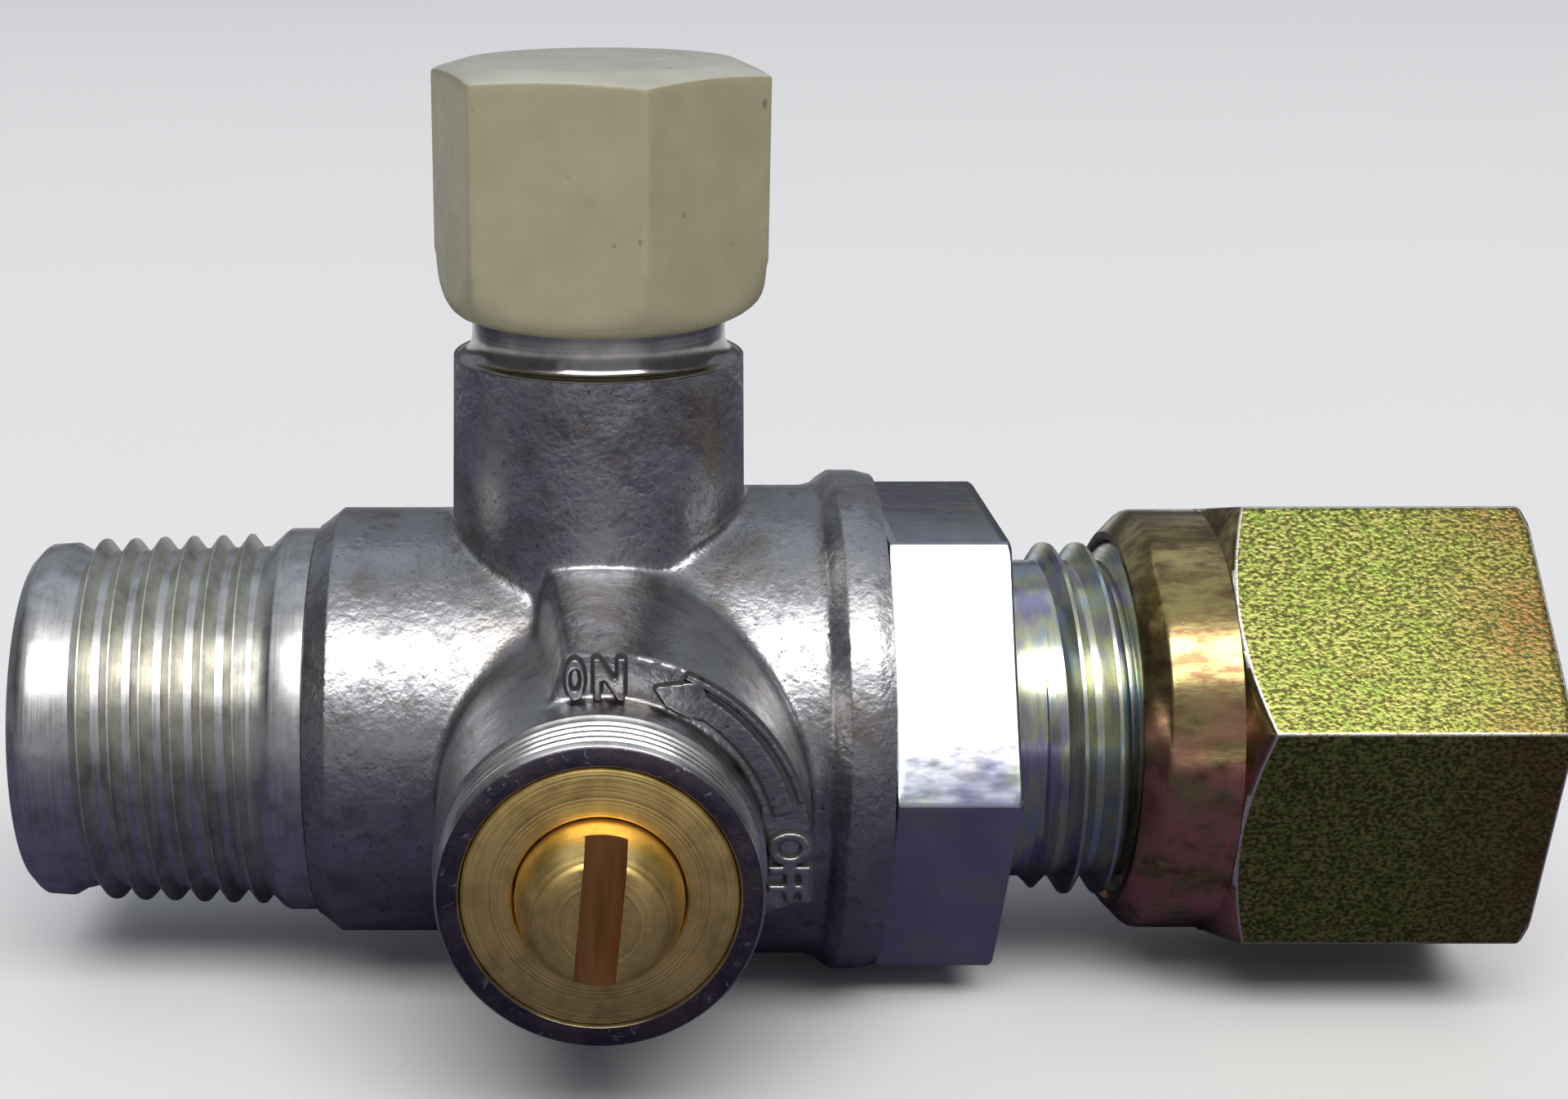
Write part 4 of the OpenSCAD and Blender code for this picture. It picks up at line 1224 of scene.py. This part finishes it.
class VALVE_OT_lettering(bpy.types.Operator):
    """Raise ON, OFF and the arrow on the sector pad"""

    bl_idname = "valve.lettering"
    bl_label = "ON, OFF and arrow"

    def execute(self, context):
        s = sizes("valve_casting")
        tints = context.scene.valve_colours
        skin, dark_edging = cast_metal(tints), dark_grime()
        for name, word, middle, size, turn in (
            ("letter_o", "O", (-0.95, 7.46), (0.8, 1.68), 0),
            ("letter_n", "N", (0.38, 7.48), (1.25, 1.72), 0),
            ("word_off", "OFF", (7.52, -0.46), (3.05, 1.7), -90),
        ):
            piece = self.word(word, size)
            piece.name = name
            placed(piece, Matrix.Rotation(math.radians(turn), 4, "Z"))
            placed(piece, Matrix.Rotation(math.pi / 2, 4, "X"))
            placed(piece, Matrix.Translation((CENTRE + middle[0], -s.pad_face, middle[1])))
            self.finish_mark(piece, s, skin, dark_edging)
        for mark in (self.arrow(), self.border(s)):
            placed(mark, Matrix.Rotation(math.pi / 2, 4, "X"))
            placed(mark, Matrix.Translation((CENTRE, -s.pad_face, 0)))
            self.finish_mark(mark, s, skin, dark_edging)
        return {"FINISHED"}

    def finish_mark(self, piece, s, skin, dark_edging):
        """A raised mark, near black on its sides and in a thin band round its foot."""
        # A slightly swollen copy of the mark, cut at the pad's face, makes a thin dark band round its foot
        foot = piece.copy()
        foot.data = piece.data.copy()
        foot.name = piece.name + "_grime"
        bpy.context.collection.objects.link(foot)
        applied(foot, "DISPLACE", strength=0.1, mid_level=0.0)
        places = corners(foot)
        places[:, 1] = np.maximum(places[:, 1], -s.pad_face - 0.02)
        move_corners(foot, places)
        finished(foot, "valve", "cast_metal", angle=60, materials=(dark_edging,))
        # Faces that don't face out from the pad take the near-black material
        for part in piece.data.polygons:
            part.material_index = int(abs(part.normal.y) < 0.7)
        finished(piece, "valve", "cast_metal", angle=60, materials=(skin, dark_edging))

    def word(self, word, size):
        fresh()
        bpy.ops.object.text_add()
        text = bpy.context.object
        text.data.body = word
        text.data.align_x = "CENTER"
        text.data.align_y = "CENTER"
        text.data.offset = 0.045
        text.data.extrude = 0.1
        text.data.resolution_u = 6
        bpy.ops.object.convert(target="MESH")
        piece = bpy.context.object
        bpy.ops.object.mode_set(mode="EDIT")
        tidy_shell()
        places = corners(piece)
        low, high = places.min(0), places.max(0)
        places -= (low + high) / 2
        places *= np.array([size[0], size[1], 0.6]) / (high - low)
        places[:, 2] += 0.02
        move_corners(piece, places)
        applied(piece, "REMESH", mode="VOXEL", voxel_size=0.055)
        applied(piece, "SMOOTH", factor=0.5, iterations=4)
        return piece

    def arrow(self):
        """A curved arrow that runs from OFF to ON along the pad."""
        outer = arc(0, 0, 7.9, 14, 58, 11)
        inner = arc(0, 0, 7.05, 54, 14, 10)
        return self.raised("arrow", outer + [(3.95, 7.38), (2.1, 7.12), (2.6, 6.35), (3.3, 5.95)] + inner)

    def border(self, s):
        """A low ridge along the pad's rim, beside the arrow."""
        outer, inner = s.pad_radius - 0.06, s.pad_radius - 0.3
        return self.raised("pad_border", arc(0, 0, outer, 16, 66, 14) + arc(0, 0, inner, 66, 16, 14))

    def raised(self, name, points):
        """A flat outline made into a low raised mark with soft edges."""
        piece = drawn(name, points, closed=True)
        bpy.ops.mesh.select_all(action="SELECT")
        bpy.ops.mesh.edge_face_add()
        bpy.ops.mesh.extrude_region_move(TRANSFORM_OT_translate={"value": (0, 0, 0.4)})
        bpy.ops.mesh.select_all(action="SELECT")
        bpy.ops.transform.translate(value=(0, 0, -0.18))
        tidy_shell()
        applied(piece, "REMESH", mode="VOXEL", voxel_size=0.07)
        applied(piece, "SMOOTH", factor=0.5, iterations=4)
        return piece


class VALVE_OT_inner_finishes(bpy.types.Operator):
    """Finish the pieces that keep their solids"""

    bl_idname = "valve.inner_finishes"
    bl_label = "Inner finishes"

    def execute(self, context):
        tints = context.scene.valve_colours
        rubber, sleeve, copper = black_rubber(), white_sleeve(), soft_copper()
        brass_up = turned_metal("brass_up", tints.brass, "Z", (0.22, 0.4))
        steel = turned_metal("spring_metal", tints.turned, "Y", (0.25, 0.4))
        ring = yellow_zinc(tints)
        finishes = {
            rubber: ("cap_gasket", "spindle_o_ring", "stem_o_ring_front", "stem_o_ring_rear",
                     "gland_o_ring", "coupling_seal"),
            sleeve: ("plug_sleeve", "thrust_washer"),
            copper: ("bonnet_gasket",),
            brass_up: ("regulating_spindle", "spindle_bonnet", "seat_insert"),
            steel: ("disc_spring", "stop_pin"),
            ring: ("cutting_ring",),
        }
        for material, nodes in finishes.items():
            for node in nodes:
                shown = bpy.data.objects[node]
                shown.data.materials.clear()
                shown.data.materials.append(material)
        return {"FINISHED"}


class VALVE_OT_studio(bpy.types.Operator):
    """Set the camera, the pale floor and the soft lamps"""

    bl_idname = "valve.studio"
    bl_label = "Studio"

    def execute(self, context):
        look = context.scene.valve_studio
        self.camera(context)
        self.sheet("floor", look.floor, 6, 6, (0, 0, BODY_LOW.z - 0.0002))
        card = self.sheet("dark_card", look.card, 0.6, 0.4, (0.033, -0.06, BODY_LOW.z - 0.0001))
        card.visible_camera = card.visible_shadow = card.visible_diffuse = False
        self.lamp("key_lamp", 4, 53.8, 56, 25.4, look.key * 1.1, (1.0, 0.985, 0.96))
        self.lamp("key_border", 4, 37.2, 56, 7.8, look.key * 0.07, (0.72, 0.82, 1.0))
        self.lamp("top_fill", 0, 84, 80, 36, look.fill * 2.2, (0.9, 0.95, 1.0))
        self.lamp("front_fill", 0, 16, 70, 38, look.fill, (0.92, 0.9, 1.0))
        self.lamp("back_lamp", 180, 64, 80, 22, look.back, (0.8, 0.87, 1.0))
        self.lamp("low_back_lamp", 180, 30, 110, 33, look.back * 0.38, (0.82, 0.88, 1.0))
        world = bpy.data.worlds.new("studio_world")
        context.scene.world = world
        world.use_nodes = True
        light = world.node_tree.nodes["Background"].inputs
        light["Color"].default_value = (0.9, 0.93, 1.0, 1)
        light["Strength"].default_value = look.world
        context.scene.view_settings.view_transform = "Standard"
        return {"FINISHED"}

    def camera(self, context):
        data = bpy.data.cameras.new("camera")
        camera = bpy.data.objects.new("camera", data)
        context.collection.objects.link(camera)
        yaw, pitch, roll = math.radians(-0.574), math.radians(-17.02), math.radians(-0.245)
        ahead = Vector((math.sin(yaw) * math.cos(pitch), math.cos(yaw) * math.cos(pitch), math.sin(pitch)))
        right = Vector((math.cos(yaw), -math.sin(yaw), 0))
        up = right.cross(ahead)
        across = right * math.cos(roll) + up * math.sin(roll)
        upward = up * math.cos(roll) - right * math.sin(roll)
        turn = Matrix((across, upward, -ahead)).transposed().to_4x4()
        camera.matrix_world = Matrix.Translation((0.02528, -0.101222, 0.038605)) @ turn
        data.sensor_width = 36.0
        data.lens = 54.12
        data.shift_x = 0.1343
        data.shift_y = 0.0057
        data.clip_start = 0.005
        context.scene.camera = camera

    def sheet(self, name, tint, wide, deep, middle):
        fresh()
        bpy.ops.mesh.primitive_plane_add(size=1, location=middle)
        sheet = bpy.context.object
        sheet.name = name
        sheet.scale = (wide, deep, 1)
        bpy.ops.object.transform_apply(location=True, rotation=True, scale=True)
        paper = Nodes(name + "_paper", Roughness=0.9)
        paper.paint(paper.mix(paper.noise(0.02), tint, darker(tint, 0.98)))
        sheet.data.materials.append(paper.material)
        return sheet

    def lamp(self, name, azimuth, elevation, wide, high, brightness, tint):
        """A soft box that spans so many degrees, seen from the valve."""
        away = 3.0
        data = bpy.data.lights.new(name, "AREA")
        data.shape = "RECTANGLE"
        data.size = 2 * away * math.tan(math.radians(wide / 2))
        data.size_y = 2 * away * math.tan(math.radians(high / 2))
        data.energy = brightness * math.pi * data.size * data.size_y
        data.color = tint
        lamp = bpy.data.objects.new(name, data)
        bpy.context.collection.objects.link(lamp)
        side, rise = math.radians(azimuth), math.radians(elevation)
        aim = Vector((math.cos(rise) * math.sin(side), -math.cos(rise) * math.cos(side), math.sin(rise)))
        valve_middle = Vector((0.033, 0, 0.005))
        lamp.location = valve_middle + aim * away
        lamp.rotation_euler = (-aim).to_track_quat("-Z", "Y").to_euler()


class VALVE_PT_panel(bpy.types.Panel):
    """Lists the valve's steps"""

    bl_idname = "VALVE_PT_panel"
    bl_label = "Regulating Valve"
    bl_space_type = "VIEW_3D"
    bl_region_type = "UI"
    bl_category = "Valve"

    def draw(self, context):
        for operator in OPERATORS:
            self.layout.operator(operator.bl_idname)


GROUPS = {
    "valve_casting": CastingSizes,
    "valve_threads": ThreadSizes,
    "valve_hexagons": HexagonSizes,
    "valve_stem": StemSizes,
    "valve_colours": MetalColours,
    "valve_studio": StudioLook,
}
OPERATORS = (
    VALVE_OT_casting, VALVE_OT_inlet_thread, VALVE_OT_cap_thread, VALVE_OT_cap, VALVE_OT_coupling,
    VALVE_OT_nut, VALVE_OT_stem, VALVE_OT_lettering, VALVE_OT_inner_finishes, VALVE_OT_studio,
)


def register():
    for name, group in GROUPS.items():
        bpy.utils.register_class(group)
        setattr(bpy.types.Scene, name, PointerProperty(type=group))
    for operator in OPERATORS:
        bpy.utils.register_class(operator)
    bpy.utils.register_class(VALVE_PT_panel)


def unregister():
    bpy.utils.unregister_class(VALVE_PT_panel)
    for operator in reversed(OPERATORS):
        bpy.utils.unregister_class(operator)
    for name, group in GROUPS.items():
        delattr(bpy.types.Scene, name)
        bpy.utils.unregister_class(group)


def main():
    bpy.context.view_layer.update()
    register()
    for operator in OPERATORS:
        space, name = operator.bl_idname.split(".")
        getattr(getattr(bpy.ops, space), name)()


if __name__ == "__main__":
    main()
